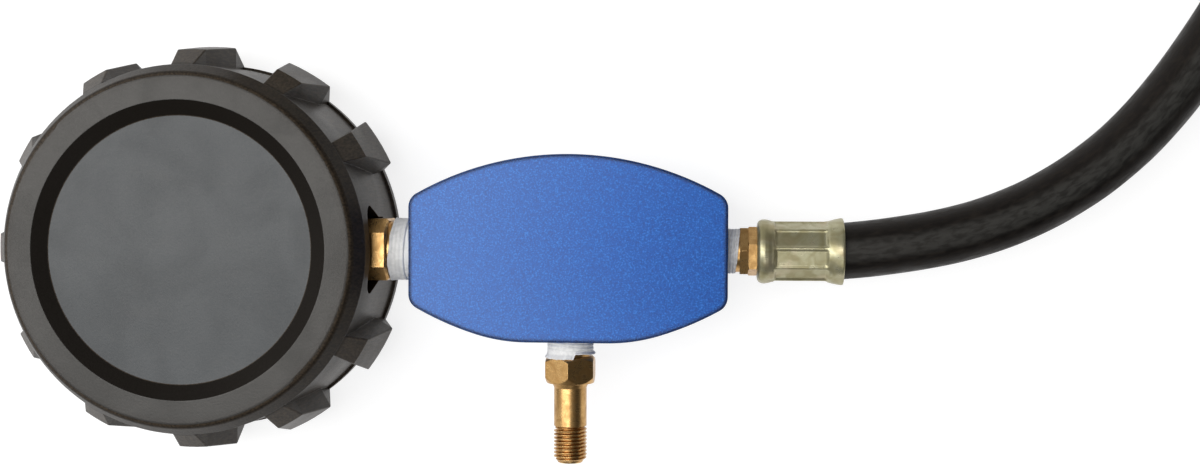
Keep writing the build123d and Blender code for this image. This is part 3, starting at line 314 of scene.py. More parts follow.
def bend_corners(start, heading, radius, turn):
    """The corners of one bend, the place where it ends, and its heading there. Headings are in radians."""
    side = math.copysign(1.0, turn)
    centre = start + Vector((-math.sin(heading), math.cos(heading))) * radius * side
    step = math.radians(turn) / hose_bend_points
    reach = radius / math.cos(step / 2)
    first = start - centre
    corners = []
    for k in range(hose_bend_points):
        corners.append(centre + Matrix.Rotation(step * (k + 0.5), 2) @ first * (reach / radius))
    return corners, centre + Matrix.Rotation(math.radians(turn), 2) @ first, heading + math.radians(turn)


def hose_points():
    """The hose's control points, in millimetres: its route, and then its bends to the far end."""
    exit_x, exit_y = ferrule_high.x / mm, gauge_y / mm
    points = [Vector((exit_x + x, exit_y + y, z)) for (x, y), z in zip(hose_route, hose_heights)]
    start, heading = points[-1].to_2d(), math.radians(hose_heading)
    for radius, turn in hose_bends:
        corners, start, heading = bend_corners(start, heading, radius, turn)
        points += [Vector((corner.x, corner.y, hose_heights[-1])) for corner in corners]
    points.append(Vector((start.x - hose_inside, start.y, hose_heights[-1])))
    return points


def spline_points(name, corners):
    """Points along the smooth line that has these control points, in metres."""
    curve = bpy.data.curves.new(name, "CURVE")
    curve.dimensions = "3D"
    curve.resolution_u = hose_resolution
    line = curve.splines.new("NURBS")
    line.points.add(len(corners) - 1)
    for target, source in zip(line.points, corners):
        target.co = (*(source * mm), 1.0)
    line.order_u = hose_order
    line.use_endpoint_u = True
    guide = bpy.data.objects.new(name, curve)
    mesh = bpy.data.meshes.new_from_object(guide)
    points = [vertex.co.copy() for vertex in mesh.vertices]
    bpy.data.objects.remove(guide)
    bpy.data.meshes.remove(mesh)
    return points


def hose_rings(path):
    """Rings of the slightly uneven hose round its path, each with its lowest point first."""
    rings = []
    for k, point in enumerate(path):
        ahead = (path[min(k + 1, len(path) - 1)] - path[max(k - 1, 0)]).normalized()
        side = ahead.cross(Vector((0, 0, 1))).normalized()
        up = side.cross(ahead)
        ring = []
        for j in range(hose_sides):
            angle = 2 * math.pi * j / hose_sides
            out = side * math.sin(angle) - up * math.cos(angle)
            uneven = hose_uneven * noise.noise((point + out * hose_radius) / hose_uneven_size)
            ring.append(point + out * (hose_radius + uneven))
        rings.append(ring)
    return rings


def unwrap(mesh, path):
    """A map of a tube: u runs once round it and v is metres along it, for marks that follow its length."""
    along = [0.0]
    for before, after in zip(path, path[1:]):
        along.append(along[-1] + (after - before).length)
    layer = mesh.uv_layers.new(name="length")
    for face in mesh.polygons:
        turns = [mesh.loops[k].vertex_index % hose_sides for k in face.loop_indices]
        wraps = max(turns) - min(turns) > hose_sides / 2
        for k, turn in zip(face.loop_indices, turns):
            if wraps and turn == 0:
                turn = hose_sides
            layer.data[k].uv = (turn / hose_sides, along[mesh.loops[k].vertex_index // hose_sides])


hose_path = spline_points("hose_line", hose_points())
hose_mesh = tube_mesh("hose", hose_rings(hose_path))
unwrap(hose_mesh, hose_path)
hose = piece("hose", hose_mesh, slot="hose_rubber")
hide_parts("hose_run", "hose_coil")


# Crimped ferrules

def ferrule_radius(distance, angle, outline_radius):
    """The ferrule's radius where it is crimped: each dent is a flat with an edge along its sides."""
    pitch = 2 * math.pi / dent_count
    off = (angle - math.radians(dent_turn) + pitch / 2) % pitch - pitch / 2
    flat = (outline_radius - dent_depth) / math.cos(off)
    half = dent_width / 2 / outline_radius
    across = 1 - ease(abs(off), half * dent_side[0], half * dent_side[1])
    along = ease(distance, dent_start, dent_start + dent_ramp)
    along *= 1 - ease(distance, dent_end - dent_ramp, dent_end)
    dented = outline_radius + (min(flat, outline_radius) - outline_radius) * across * along
    return dented - mouth_wave * math.cos(off * dent_count) * ease(distance, dent_end, dent_end + mouth_run)


def crimped_ferrule(name, node, origin, along):
    """A ferrule pressed on the hose, from a lathe outline with dents in its waist."""
    matrix = place(origin, along)
    stations = []
    for (start, low), (end, high) in zip(ferrule_outline, ferrule_outline[1:]):
        steps = max(1, round(abs(end - start) / ferrule_step))
        for k in range(steps):
            stations.append((start + (end - start) * k / steps, low + (high - low) * k / steps))
    stations.append(ferrule_outline[-1])
    rings = []
    turn_over = max(distance for distance, radius in ferrule_outline)
    past = False
    for distance, radius in stations:
        past = past or distance >= turn_over
        ring = []
        for k in range(ferrule_sides):
            angle = 2 * math.pi * k / ferrule_sides
            here = radius if past else ferrule_radius(distance, angle, radius)
            ring.append(around(matrix, here, angle, distance))
        rings.append(ring)
    made = piece(name, tube_mesh(name, rings), slot="plated_steel")
    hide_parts(node)
    return made


crimped_ferrule("ferrule", "hose_ferrule", ferrule_start, Vector((1, 0, 0)))
end_ferrule = crimped_ferrule("ferrule_end", "end_ferrule",
                              Vector((end_ferrule_low.x, end_centre.y, end_centre.z)), Vector((1, 0, 0)))


# Hexagons

def milled(name, node, matrix, outline, flats, corner):
    """A turned outline of (distance, radius), with six flats milled on it from the corner angle on."""
    rings = []
    for (start, low), (end, high) in zip(outline, outline[1:]):
        steps = 1
        if max(low, high) > flats / 2:
            steps = max(1, round(math.hypot(end - start, high - low) / hexagon_step))
        for j in range(steps):
            distance, radius = start + (end - start) * j / steps, low + (high - low) * j / steps
            ring = []
            for k in range(hexagon_sides):
                angle = 2 * math.pi * k / hexagon_sides
                here = min(radius, flats / 2 / math.cos(angle % (math.pi / 3) - math.pi / 6))
                ring.append(around(matrix, here, angle + math.radians(corner), distance))
            rings.append(ring)
    mesh = tube_mesh(name, rings, closed=True)
    made = piece(name, mesh)
    mesh.set_sharp_from_angle(angle=math.radians(hexagon_sharp))
    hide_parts(node)
    return made


def hexagon(name, node, start, end, flats, corner, thread_radius):
    """One of the two hexagons on the hose's axis, with the thread before it, bored through."""
    tip = flats / math.sqrt(3)
    back, shoulder = start - hexagon_thread_length, tip - hexagon_chamfer_depth
    outline = [(back, thread_radius), (start, thread_radius), (start, shoulder),
               (start + hexagon_chamfer, tip), (end - hexagon_chamfer, tip), (end, shoulder),
               (end, insert_thread_radius), (end, hexagon_bore_radius), (back, hexagon_bore_radius)]
    return milled(name, node, place(ferrule_start, Vector((1, 0, 0))), outline, flats, corner)


nipple = hexagon("nipple_hexagon", "hose_nipple", *nipple_hexagon, nipple_thread_radius)
insert = hexagon("insert_hexagon", "hose_insert", *insert_hexagon, insert_thread_radius)
valve_matrix = place(Vector((valve_x, gauge_y, axis_height)), Vector((0, -1, 0)))
valve = milled("valve_body", "valve_stem", valve_matrix, valve_outline, valve_flats, valve_corner)


# Sealing tape on the pipe threads

def tape(name, node, origin, along, shape):
    """Tape wound over a pipe thread, along from its loose edge into the block."""
    matrix = place(origin, along)
    mouth = begins((block_low, block_high), along)
    start, end = begins(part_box(node), along) - shape["past"], mouth + tape_hidden
    seed = shape["seed"]
    pull, wander, lift, torn = shape["loose"]
    crease_round, crease_along, crease_height = tape_crease
    steps = round((end - start) / tape_step)
    rings = []
    for j in range(steps + 1):
        share = j / steps
        wandering = 1 - ease(share, 0.0, wander_share)
        lifting = 1 - ease(share, 0.0, lift_share)
        tucking = 1 - ease(share, 0.0, tuck_share)
        ring = []
        for k in range(tape_sides):
            angle = 2 * math.pi * k / tape_sides
            round_x, round_y = math.cos(angle), math.sin(angle)
            ragged = 0.0
            for waves, part, shift in tape_waves:
                ragged += part * noise.noise(Vector((round_x * waves, round_y * waves, seed + shift)))
            back = pull * (0.5 + 0.5 * round_x) + wander * ragged + torn * (1 - ease(round_x, *tape_tear))
            distance = start + (end - start) * share + wandering * back
            depth = 0.0
            for off, groove, half, step in shape["grooves"]:
                behind = mouth - off + tape_lean * round_x - distance
                depth += groove * math.exp(-(behind / half) ** 2) + step * (1 - ease(behind, -half, half))
            crease = noise.noise(Vector((round_x * crease_round, round_y * crease_round,
                                         distance * crease_along + seed)))
            lifted = lift * lifting * max(0.0, lift_mean + lift_ragged * ragged)
            here = shape["radius"] - depth + crease_height * crease + lifted - tuck_depth * tucking
            ring.append(around(matrix, here, angle, distance))
        rings.append(ring)
    made = piece(name, tube_mesh(name, rings), slot="thread_tape")
    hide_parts(node)
    return made


tape("tape_gauge", "gauge_port_tape", hose_axis, Vector((1, 0, 0)), gauge_tape)
tape_hose = tape("tape_hose", "hose_port_tape", hose_axis, Vector((-1, 0, 0)), hose_tape)
tape("tape_valve", "valve_port_tape", Vector((valve_x, 0, axis_height)), Vector((0, 1, 0)), valve_tape)


# Screw threads

def thread(name, mount_name, along, shape, body):
    """One ridge wound round a mount's axis, shallow at both ends. A negative depth cuts inward."""
    mount = next(m for m in frame["record"]["mounts"] if m["name"] == mount_name)
    matrix = place(Vector(mount["pos_m"]), along)
    half = mount["dims"]["length_mm"] / 2
    start, end = -half - shape["before"], half - shape["short"]
    pitch, depth = shape["pitch"], shape["depth"]
    root = shape["radius"] - depth
    steps = round((end - start) / pitch * thread_steps)
    rings = []
    for j in range(steps + 1):
        distance = start + (end - start) * j / steps
        fade = ease(distance, start, start + pitch) * (1 - ease(distance, end - pitch, end))
        ring = []
        for k in range(thread_sides):
            angle = 2 * math.pi * k / thread_sides
            phase = (distance / pitch - angle / (2 * math.pi)) % 1.0
            rise = min(1.0, max(0.0, thread_crest - abs(phase - 0.5) * thread_slope))
            ring.append(around(matrix, root + depth * rise * fade, angle, distance))
        rings.append(ring)
    return piece(name, tube_mesh(name, rings), body=body, slot="brass")


thread_valve = thread("thread_valve", "tank_valve_thread", Vector((0, -1, 0)), valve_thread, "tester")
thread_nut = thread("thread_nut", "hose_nut_thread", Vector((-1, 0, 0)), nut_thread, "hose_nut")


# Dial markings, read from below with the stem at the foot of the dial

def dial_angle(reading):
    """The angle of a reading round the gauge's axis."""
    return math.radians(dial_zero + dial_sweep * reading / dial_top)


def dial_point(angle, radius):
    """A point of the dial's face at an angle round the gauge's axis."""
    return Vector((gauge_x + radius * math.cos(angle), gauge_y + radius * math.sin(angle), dial_low.z))


def dial_marks():
    """The scale's ticks, as thin raised ink."""
    mesh = bpy.data.meshes.new("dial_marks")
    form = bmesh.new()

    def tick(angle, length, half):
        """One tick, inwards from the scale's radius."""
        across = Vector((-math.sin(angle), math.cos(angle), 0)) * half
        inner, outer = dial_point(angle, scale_radius - length), dial_point(angle, scale_radius)
        low = [inner - across, outer - across, outer + across, inner + across]
        top = [point - Vector((0, 0, ink_height)) for point in low]
        corners = [form.verts.new(point) for point in low + top]
        form.faces.new(corners[4:])
        for k in range(4):
            after = (k + 1) % 4
            form.faces.new((corners[k], corners[after], corners[4 + after], corners[4 + k]))

    for count in range(dial_top + 1):
        tick(dial_angle(count), *(short_tick if count % dial_label_step else long_tick))
    for count in range(dial_top * fine_ticks + 1):
        tick(dial_angle(count / fine_ticks), *fine_tick)
    bmesh.ops.recalc_face_normals(form, faces=form.faces)
    form.to_mesh(mesh)
    form.free()
    return piece("dial_marks", mesh, slot="pointer_black", smooth=False)


def dial_number(count):
    """One number beside its tick, upright for someone who reads the dial."""
    words = bpy.data.curves.new(f"dial_number_{count}", "FONT")
    words.body = str(count)
    words.size = number_size
    words.align_x = "CENTER"
    words.align_y = "CENTER"
    words.extrude = ink_height / 2
    words.offset = number_spread
    made = new_object(words.name, words)
    turn = Matrix(((0, -1, 0), (-1, 0, 0), (0, 0, -1))).to_4x4()
    made.matrix_world = Matrix.Translation(dial_point(dial_angle(count), number_radius)) @ turn
    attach(made, "tester")
    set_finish(made, "pointer_black")
    return made


dial_marks()
for count in range(0, dial_top + 1, dial_label_step):
    dial_number(count)


# Materials

def add_node(tree, kind, inputs=None, **settings):
    """A new node. An input is a value, or another node's output that is linked to it."""
    made = tree.nodes.new("ShaderNode" + kind)
    for words, value in settings.items():
        setattr(made, words, value)
    for words, value in (inputs or {}).items():
        if isinstance(value, bpy.types.NodeSocket):
            tree.links.new(value, made.inputs[words])
        else:
            made.inputs[words].default_value = value
    return made


class Look:
    """A material being made: its node tree, its shader and short ways to add nodes."""

    def __init__(self, name, **sockets):
        self.material = bpy.data.materials.new(name)
        self.material.use_nodes = True
        self.tree = self.material.node_tree
        self.shader = self.tree.nodes["Principled BSDF"]
        for words, value in sockets.items():
            self.shader.inputs[words.replace("_", " ")].default_value = value
        self.position = self.node("TexCoord").outputs["Object"]

    def node(self, kind, inputs=None, **settings):
        """A new node in this material."""
        return add_node(self.tree, kind, inputs, **settings)

    def link(self, output, socket):
        """Links an output to one of the shader's inputs."""
        self.tree.links.new(output, self.shader.inputs[socket])

    def noise(self, size, detail=2.0, stretch=(1, 1, 1), distortion=0.0, position=None):
        """Noise whose lumps are about size metres across, drawn out along the axes by stretch."""
        scaled = self.node("Mapping", {"Vector": position or self.position,
                                       "Scale": [1 / way for way in stretch]})
        made = self.node("TexNoise", {"Vector": scaled.outputs["Vector"], "Scale": 1 / size, "Detail": detail,
                                      "Distortion": distortion})
        return made.outputs["Fac"]

    def between(self, value, low, high, to_low=0.0, to_high=1.0):
        """A value from low to high, spread smoothly over another range."""
        made = self.node("MapRange", {"Value": value, "From Min": low, "From Max": high, "To Min": to_low,
                                      "To Max": to_high}, interpolation_type="SMOOTHSTEP")
        return made.outputs["Result"]

    def mix(self, share, first, second):
        """Two colours, or outputs that carry colours, mixed by share."""
        made = self.node("Mix", data_type="RGBA")
        for socket, value in zip((made.inputs[0], made.inputs[6], made.inputs[7]), (share, first, second)):
            if isinstance(value, bpy.types.NodeSocket):
                self.tree.links.new(value, socket)
            else:
                socket.default_value = value if isinstance(value, float) else (*value, 1.0)
        return made.outputs[2]

    def sum(self, *values):
        """Values added up."""
        total = values[0]
        for value in values[1:]:
            total = self.node("Math", {0: total, 1: value}, operation="ADD").outputs[0]
        return total

    def times(self, first, second):
        """Two values multiplied."""
        return self.node("Math", {0: first, 1: second}, operation="MULTIPLY").outputs[0]

    def bumped(self, *layers, rounding=0.0):
        """Links the normal to layers of (height, depth in metres), over edges of that rounding radius."""
        normal = None
        if rounding:
            normal = self.node("Bevel", {"Radius": rounding}, samples=bevel_samples).outputs["Normal"]
        for height, depth in layers:
            inputs = {"Height": height, "Distance": depth, "Strength": 1.0}
            if normal:
                inputs["Normal"] = normal
            normal = self.node("Bump", inputs).outputs["Normal"]
        self.link(normal, "Normal")

    def rough(self, *layers):
        """Links the roughness to the sum of layers of (noise, roughness at its low, and at its high)."""
        spread = [self.between(value, noise_low, noise_high, low, high) for value, low, high in layers]
        self.link(self.sum(*spread), "Roughness")

    def edges(self, radius, least=0.97, most=0.80):
        """1 on edges within that radius, 0 on flats: how far the rounded normal leaves the true one."""
        rounded = self.node("Bevel", {"Radius": radius}, samples=bevel_samples).outputs["Normal"]
        flat = self.node("NewGeometry").outputs["Normal"]
        agree = self.node("VectorMath", {0: rounded, 1: flat}, operation="DOT_PRODUCT").outputs["Value"]
        return self.between(agree, least, most)

    def facing_up(self, low, high):
        """0 where the surface leans, 1 where it looks straight up."""
        normal = self.node("NewGeometry").outputs["Normal"]
        return self.between(self.node("SeparateXYZ", {0: normal}).outputs["Z"], low, high)

    def from_axis(self, x, y):
        """The distance from an upright axis, in metres."""
        level = self.node("Mapping", {"Vector": self.position, "Location": (-x, -y, 0), "Scale": (1, 1, 0)})
        return self.node("VectorMath", {0: level.outputs["Vector"]}, operation="LENGTH").outputs["Value"]


def colour(red, green, blue):
    """A colour written as it reads on a screen, 0 to 255, turned to the light that it stands for."""
    return [((v / 255 + 0.055) / 1.055) ** 2.4 if v > 10 else v / 255 / 12.92 for v in (red, green, blue)]


def boot_rubber():
    """Moulded black rubber. Faces that look up carry a painted grey sheen, bluer on the disc and dimmed by
    painted shade near the shoulder; the groove and shoulder carry bands of painted shade, edges a painted
    highlight, and the walls show faint mould marks."""
    made = Look("boot_rubber", Specular_Tint=(1.0, 0.94, 0.88, 1.0))
    facing = made.facing_up(0.945, 0.995)
    clouds = made.noise(16 * mm, 4.0, distortion=0.6)
    smears = made.noise(5 * mm, 3.0, stretch=(2.2, 1, 1), distortion=1.2)
    grain = made.noise(0.3 * mm, 3.0)
    streaks = made.noise(0.5 * mm, 3.0, stretch=(1, 1, 12))
    radius = made.from_axis(gauge_x, gauge_y)
    disc = made.between(radius, disc_edge + disc_fade, disc_edge)
    rim_shade = made.between(radius, rim_shade_from, rim_shade_to)
    bands = []
    # Bands of painted shade in the groove and on the shoulder
    for inner, outer, share in shade_bands:
        outside = made.between(radius, inner, inner + inner_fade)
        bands.append(made.times(outside, made.between(radius, outer + outer_fade, outer, 0.0, share)))
    dark = made.sum(*bands)
    # Painted sheen on faces that look up, bluer on the disc, mottled by clouds and smears
    painted_sheen = made.mix(disc, colour(40, 42, 42), colour(56, 63, 68))
    # Painted shade dims the sheen towards the shoulder
    painted_sheen = made.mix(made.times(rim_shade, 0.55), painted_sheen, colour(24, 22, 20))
    painted_sheen = made.mix(made.between(clouds, 0.3, 0.75, 0.0, 0.16), painted_sheen, colour(30, 29, 28))
    painted_sheen = made.mix(made.between(smears, 0.5, 0.8, 0.0, 0.14), painted_sheen, colour(70, 70, 69))
    bare = made.mix(made.between(streaks, 0.25, 0.8), colour(34, 28, 22), colour(66, 56, 44))
    # The bands' painted shade darkens the walls too
    bare = made.mix(dark, bare, colour(22, 19, 16))
    base = made.mix(facing, bare, painted_sheen)
    # Painted highlight on rounded edges
    base = made.mix(made.times(made.edges(0.3 * mm), 0.5), base, colour(92, 87, 80))
    made.link(base, "Base Color")
    wall_shine = made.between(dark, 0.0, 1.0, 0.2, 0.06)
    made.link(made.between(facing, 0.0, 1.0, wall_shine, 0.42), "Specular IOR Level")
    made.rough((clouds, 0.0, 0.08), (grain, 0.33, 0.41))
    made.bumped((grain, 0.016 * mm), (smears, 0.03 * mm), (streaks, 0.02 * mm), rounding=0.25 * mm)
    return made.material


def hose_rubber():
    """Cured rubber hose: near black, with a painted grey sheen on top, short scuffs and a mottled sheen."""
    made = Look("hose_rubber", Specular_IOR_Level=0.2, Specular_Tint=(1.0, 0.9, 0.82, 1.0))
    strip = made.node("UVMap", uv_map="length").outputs["UV"]
    girth = 2 * math.pi * hose_radius
    flat = made.node("Mapping", {"Vector": strip, "Scale": (girth, 1.0, 1.0)}).outputs["Vector"]
    scuffs = made.noise(0.9 * mm, 4.0, stretch=(1, 3.2, 1), distortion=0.4, position=flat)
    patches = made.noise(7 * mm, 3.0, stretch=(1, 2, 1), distortion=0.8, position=flat)
    grain = made.noise(0.35 * mm, 3.0, position=flat)
    base = made.mix(made.between(scuffs, 0.4, 0.75), colour(11, 9, 8), colour(26, 22, 18))
    # Painted sheen: a grey strip where the hose looks up, broken by the scuffs
    painted_sheen = made.times(made.facing_up(0.87, 1.0), made.between(scuffs, 0.3, 0.65, 0.35, 0.9))
    base = made.mix(painted_sheen, base, colour(52, 52, 50))
    made.link(base, "Base Color")
    scuffed = made.between(scuffs, 0.35, 0.7, 0.0, 0.16)
    made.link(made.sum(scuffed, made.between(patches, noise_low, noise_high, 0.36, 0.48)), "Roughness")
    made.bumped((grain, 0.02 * mm), (scuffs, 0.05 * mm), (patches, 0.12 * mm))
    return made.material


def seal_rubber():
    """Soft black sealing rubber."""
    made = Look("seal_rubber", Roughness=0.62)
    grain = made.noise(0.3 * mm, 2.0)
    made.link(made.mix(grain, colour(24, 24, 24), colour(36, 36, 36)), "Base Color")
    made.bumped((grain, 0.02 * mm))
    return made.material


def anodised_block():
    """Blasted and anodised aluminium: blue dye over a fine bright grain, made paler towards the gauge by a
    painted sheen and darker on its edges by painted shade."""
    made = Look("anodised_block", Metallic=0.12, Specular_IOR_Level=0.21)
    grain = made.noise(0.22 * mm, 3.0)
    speck = made.noise(0.4 * mm, 2.0)
    clouds = made.noise(22 * mm, 2.0)
    hose_end = made.from_axis(block_high.x, gauge_y)
    base = made.mix(made.between(grain, 0.36, 0.66), colour(1, 66, 146), colour(8, 88, 172))
    base = made.mix(made.between(speck, 0.5, 0.72, 0.0, 0.62), base, colour(44, 122, 202))
    base = made.mix(made.between(speck, 0.5, 0.3, 0.0, 0.75), base, colour(0, 46, 118))
    base = made.mix(made.between(clouds, 0.3, 0.7, 0.0, 0.12), base, colour(8, 84, 168))
    # Painted sheen: paler towards the gauge, away from the hose end
    base = made.mix(made.between(hose_end, sheen_from, sheen_to, 0.0, 0.15), base, colour(150, 176, 214))
    # Painted shade on its rounded edges
    base = made.mix(made.edges(1.5 * mm, 0.9995, 0.965), base, colour(6, 9, 38))
    made.link(base, "Base Color")
    made.rough((speck, 0.2, 0.29))
    made.bumped((grain, 0.008 * mm), (speck, 0.012 * mm), rounding=0.3 * mm)
    return made.material


def brass(name, along):
    """Turned brass: lathe marks round the axis that along names, a light tarnish, and rubbed edges made
    paler by a painted highlight.
    """
    made = Look(name, Metallic=1.0)
    stretch = [0.05 if axis == along else 4.0 for axis in "xyz"]
    marks = made.noise(0.5 * mm, 3.0, stretch=stretch)
    tarnish = made.noise(1.9 * mm, 4.0, distortion=0.7)
    spots = made.noise(0.4 * mm, 2.0)
    base = made.mix(made.between(tarnish, 0.35, 0.7), colour(197, 158, 103), colour(170, 131, 81))
    base = made.mix(made.between(spots, 0.6, 0.78, 0.0, 0.25), base, colour(142, 104, 60))
    # Rubbed edges, lightened further by a painted highlight
    base = made.mix(made.times(made.edges(0.2 * mm), 0.6), base, colour(238, 208, 152))
    made.link(base, "Base Color")
    made.rough((tarnish, 0.0, 0.10), (marks, 0.21, 0.31))
    made.bumped((marks, 0.003 * mm), (tarnish, 0.006 * mm), rounding=0.12 * mm)
    return made.material


def sheet_brass():
    """Stamped and tumbled brass sheet."""
    made = Look("brass_sheet", Metallic=1.0)
    brush = made.noise(0.35 * mm, 3.0, stretch=(8, 1, 1))
    spots = made.noise(1.4 * mm, 3.0)
    base = made.mix(made.between(spots, 0.35, 0.7), colour(216, 180, 112), colour(190, 148, 88))
    made.link(base, "Base Color")
    made.rough((brush, 0.24, 0.38))
    made.bumped((brush, 0.008 * mm), rounding=0.08 * mm)
    return made.material


def spring_bronze():
    """Drawn phosphor bronze, redder than the brass."""
    made = Look("spring_bronze", Metallic=1.0)
    streaks = made.noise(0.8 * mm, 3.0, stretch=(1, 1, 5))
    base = made.mix(made.between(streaks, 0.35, 0.7), colour(206, 150, 100), colour(168, 112, 70))
    made.link(base, "Base Color")
    made.rough((streaks, 0.22, 0.36))
    made.bumped((streaks, 0.01 * mm))
    return made.material


def plated_steel():
    """Pressed steel under yellow zinc plate: an olive film that drifts to pink and straw, with press marks
    and a painted highlight along its ridges and edges."""
    made = Look("plated_steel", Metallic=0.75)
    film = made.noise(3.4 * mm, 3.0, distortion=1.0)
    drift = made.noise(6.0 * mm, 2.0, distortion=0.5)
    marks = made.noise(0.4 * mm, 3.0, stretch=(6, 1, 1))
    base = made.mix(made.between(film, 0.35, 0.68), colour(170, 166, 136), colour(148, 141, 106))
    base = made.mix(made.between(drift, 0.5, 0.72, 0.0, 0.3), base, colour(190, 172, 146))
    base = made.mix(made.between(marks, 0.6, 0.8, 0.0, 0.3), base, colour(160, 156, 126))
    # Painted highlight along the ridges and edges
    base = made.mix(made.times(made.edges(0.3 * mm, 0.985, 0.9), 0.8), base, colour(240, 232, 206))
    made.link(base, "Base Color")
    made.rough((film, 0.0, 0.1), (marks, 0.25, 0.33))
    made.bumped((film, 0.006 * mm))
    return made.material


def bright_steel():
    """Machine screws and small steel pieces, bright with turning marks."""
    made = Look("bright_steel", Metallic=1.0)
    marks = made.noise(0.3 * mm, 3.0)
    made.link(made.mix(marks, colour(206, 206, 208), colour(232, 232, 232)), "Base Color")
    made.rough((marks, 0.16, 0.3))
    made.bumped((marks, 0.006 * mm), rounding=0.06 * mm)
    return made.material


def black_steel():
    """Black stoved enamel on steel, with a faint orange peel."""
    made = Look("black_steel", Coat_Weight=0.4, Coat_Roughness=0.2)
    peel = made.noise(1.3 * mm, 2.0)
    dust = made.noise(0.5 * mm, 3.0)
    made.link(made.mix(made.between(dust, 0.5, 0.8), colour(20, 20, 21), colour(38, 38, 38)), "Base Color")
    made.rough((peel, 0.32, 0.46))
    made.bumped((peel, 0.03 * mm), rounding=0.2 * mm)
    return made.material


def dial_white():
    """White enamel on the dial plate, very slightly warm and uneven."""
    made = Look("dial_white", Coat_Weight=0.3)
    soft = made.noise(6 * mm, 3.0)
    grain = made.noise(0.25 * mm, 2.0)
    made.link(made.mix(soft, colour(238, 237, 230), colour(246, 245, 240)), "Base Color")
    made.rough((grain, 0.4, 0.5))
    made.bumped((grain, 0.005 * mm))
    return made.material


def dial_ink():
    """Black ink and the pointer's matt black paint."""
    made = Look("pointer_black")
    grain = made.noise(0.3 * mm, 2.0)
    made.link(made.mix(grain, colour(18, 18, 19), colour(32, 32, 33)), "Base Color")
    made.rough((grain, 0.42, 0.58))
    made.bumped((grain, 0.006 * mm))
    return made.material


def lens_clear():
    """The dial's clear lens, with the faintest smears on it."""
    made = Look("lens_clear", Base_Color=(0.97, 0.99, 0.99, 1.0), Transmission_Weight=1.0, IOR=1.49)
    smears = made.noise(9 * mm, 3.0, distortion=1.5)
    made.link(made.between(smears, 0.45, 0.75, 0.0, 0.06), "Roughness")
    return made.material


def thread_tape(name="thread_tape", tone=(238, 237, 234), shade=(222, 221, 218)):
    """Soft white sealing tape, stretched smooth, with faint creases darkened by painted shade."""
    made = Look(name, Sheen_Weight=0.1)
    creases = made.noise(1.6 * mm, 3.0, distortion=1.0)
    fibres = made.noise(0.25 * mm, 2.0)
    # Painted shade: the creases' low parts take the shade colour
    made.link(made.mix(made.between(creases, 0.35, 0.65), colour(*shade), colour(*tone)), "Base Color")
    made.rough((fibres, 0.42, 0.52))
    made.bumped((creases, 0.01 * mm), (fibres, 0.002 * mm))
    return made.material


def wear(material, *objects):
    """Puts a material on objects in place of what they have."""
    for target in objects:
        target.data.materials.clear()
        target.data.materials.append(material)


nodes = frame["nodes"]
looks = {"boot_rubber": boot_rubber(), "hose_rubber": hose_rubber(), "seal_rubber": seal_rubber(),
         "anodised_block": anodised_block(), "brass": sheet_brass(), "spring_bronze": spring_bronze(),
         "plated_steel": plated_steel(), "bright_steel": bright_steel(), "black_steel": black_steel(),
         "dial_white": dial_white(), "pointer_black": dial_ink(), "lens_clear": lens_clear(),
         "thread_tape": thread_tape()}
brass_along_x = brass("brass_along_x", "x")
brass_along_y = brass("brass_along_y", "y")
for part in frame["record"]["subparts"]:
    wear(looks[part["material_slot"]], nodes[part["node"]])
for name in ("gauge_socket", "hose_nipple", "hose_insert", "end_insert", "swivel_nut"):
    wear(brass_along_x, nodes[name])
for name in ("valve_stem", "core_body", "core_pin"):
    wear(brass_along_y, nodes[name])
for made in list(bpy.context.scene.objects):
    if made.get("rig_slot"):
        wear(looks[made["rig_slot"]], made)
# The hose's tape gets a paler copy of the tape, painted lighter against the shade that falls on it
wear(thread_tape("thread_tape_lightened", (244, 244, 244), (222, 221, 220)), tape_hose)
wear(brass_along_y, thread_valve, valve)
wear(brass_along_x, thread_nut, nipple, insert)


# Floor, world and lamps

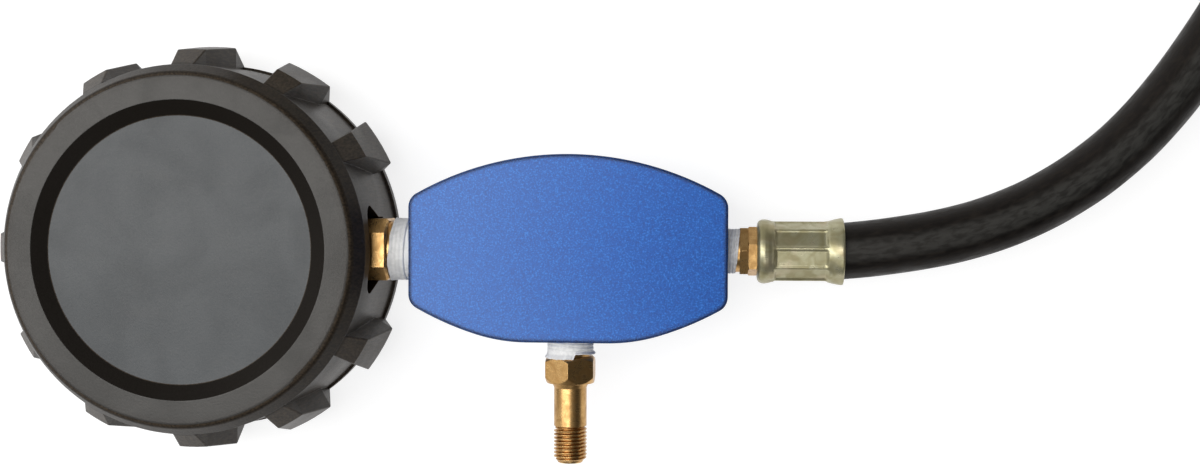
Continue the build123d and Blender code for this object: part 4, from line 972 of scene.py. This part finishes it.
def floor_look():
    """Plain pale floor: white to the eye and in reflections, with the object's soft shadow kept."""
    made = bpy.data.materials.new("floor")
    made.use_nodes = True
    tree = made.node_tree
    tree.nodes.clear()
    path = add_node(tree, "LightPath").outputs
    plain, cloth = (add_node(tree, "BsdfDiffuse", {"Color": (tone, tone, tone, 1.0)}).outputs[0]
                    for tone in (floor_tone, floor_seen_tone))
    glow = add_node(tree, "Emission", {"Strength": floor_glow}).outputs[0]
    seen = add_node(tree, "AddShader", {0: cloth, 1: glow}).outputs[0]
    total = path["Is Camera Ray"]
    for ray in ("Is Glossy Ray", "Is Transmission Ray"):
        total = add_node(tree, "Math", {0: total, 1: path[ray]}, operation="MAXIMUM").outputs[0]
    choice = add_node(tree, "MixShader", {0: total, 1: plain, 2: seen}).outputs[0]
    add_node(tree, "OutputMaterial", {"Surface": choice})
    return made


def floor():
    """A wide flat floor under the object."""
    mesh = bpy.data.meshes.new("floor")
    form = bmesh.new()
    bmesh.ops.create_grid(form, x_segments=4, y_segments=4, size=floor_half)
    form.to_mesh(mesh)
    form.free()
    made = new_object("floor", mesh)
    made.data.materials.append(floor_look())


def world():
    """Soft surroundings: white at the horizon, bright on the left, dark on the right and overhead, and
    dimmer in front."""
    made = bpy.data.worlds.new("studio")
    bpy.context.scene.world = made
    made.use_nodes = True
    tree = made.node_tree
    background = tree.nodes["Background"].inputs
    way = add_node(tree, "TexCoord").outputs["Generated"]
    parts = add_node(tree, "SeparateXYZ", {0: way}).outputs
    sides = []
    for stops in (world_left, world_right):
        ramp = add_node(tree, "ValToRGB", {0: parts["Z"]})
        while len(ramp.color_ramp.elements) < len(stops):
            ramp.color_ramp.elements.new(0.5)
        for element, (height, level) in zip(ramp.color_ramp.elements, stops):
            element.position = height
            element.color = (level, level, level, 1.0)
        sides.append(ramp.outputs["Color"])

    def along(axis, ends, least):
        """From least to 1, as a direction's part along an axis goes from one end to the other."""
        spread = add_node(tree, "MapRange", {"Value": parts[axis], "From Min": ends[0], "From Max": ends[1],
                                             "To Min": least}, interpolation_type="SMOOTHSTEP")
        return spread.outputs["Result"]

    across = along("X", world_across, 0.0)
    mixed = add_node(tree, "Mix", {0: across, 6: sides[0], 7: sides[1]}, data_type="RGBA")
    tree.links.new(mixed.outputs[2], background["Color"])
    tree.links.new(along("Y", world_ahead, world_dimmed), background["Strength"])


def lamp(name, place_m, size, power):
    """A soft box that faces the object."""
    data = bpy.data.lights.new(name, "AREA")
    data.shape = "RECTANGLE"
    data.size, data.size_y = size
    data.energy = power
    made = new_object(name, data)
    made.location = place_m
    made.rotation_euler = (lamp_target - Vector(place_m)).to_track_quat("-Z", "Y").to_euler()


floor()
world()
for name, place_m, size, power in lamps:
    lamp(name, place_m, size, power)
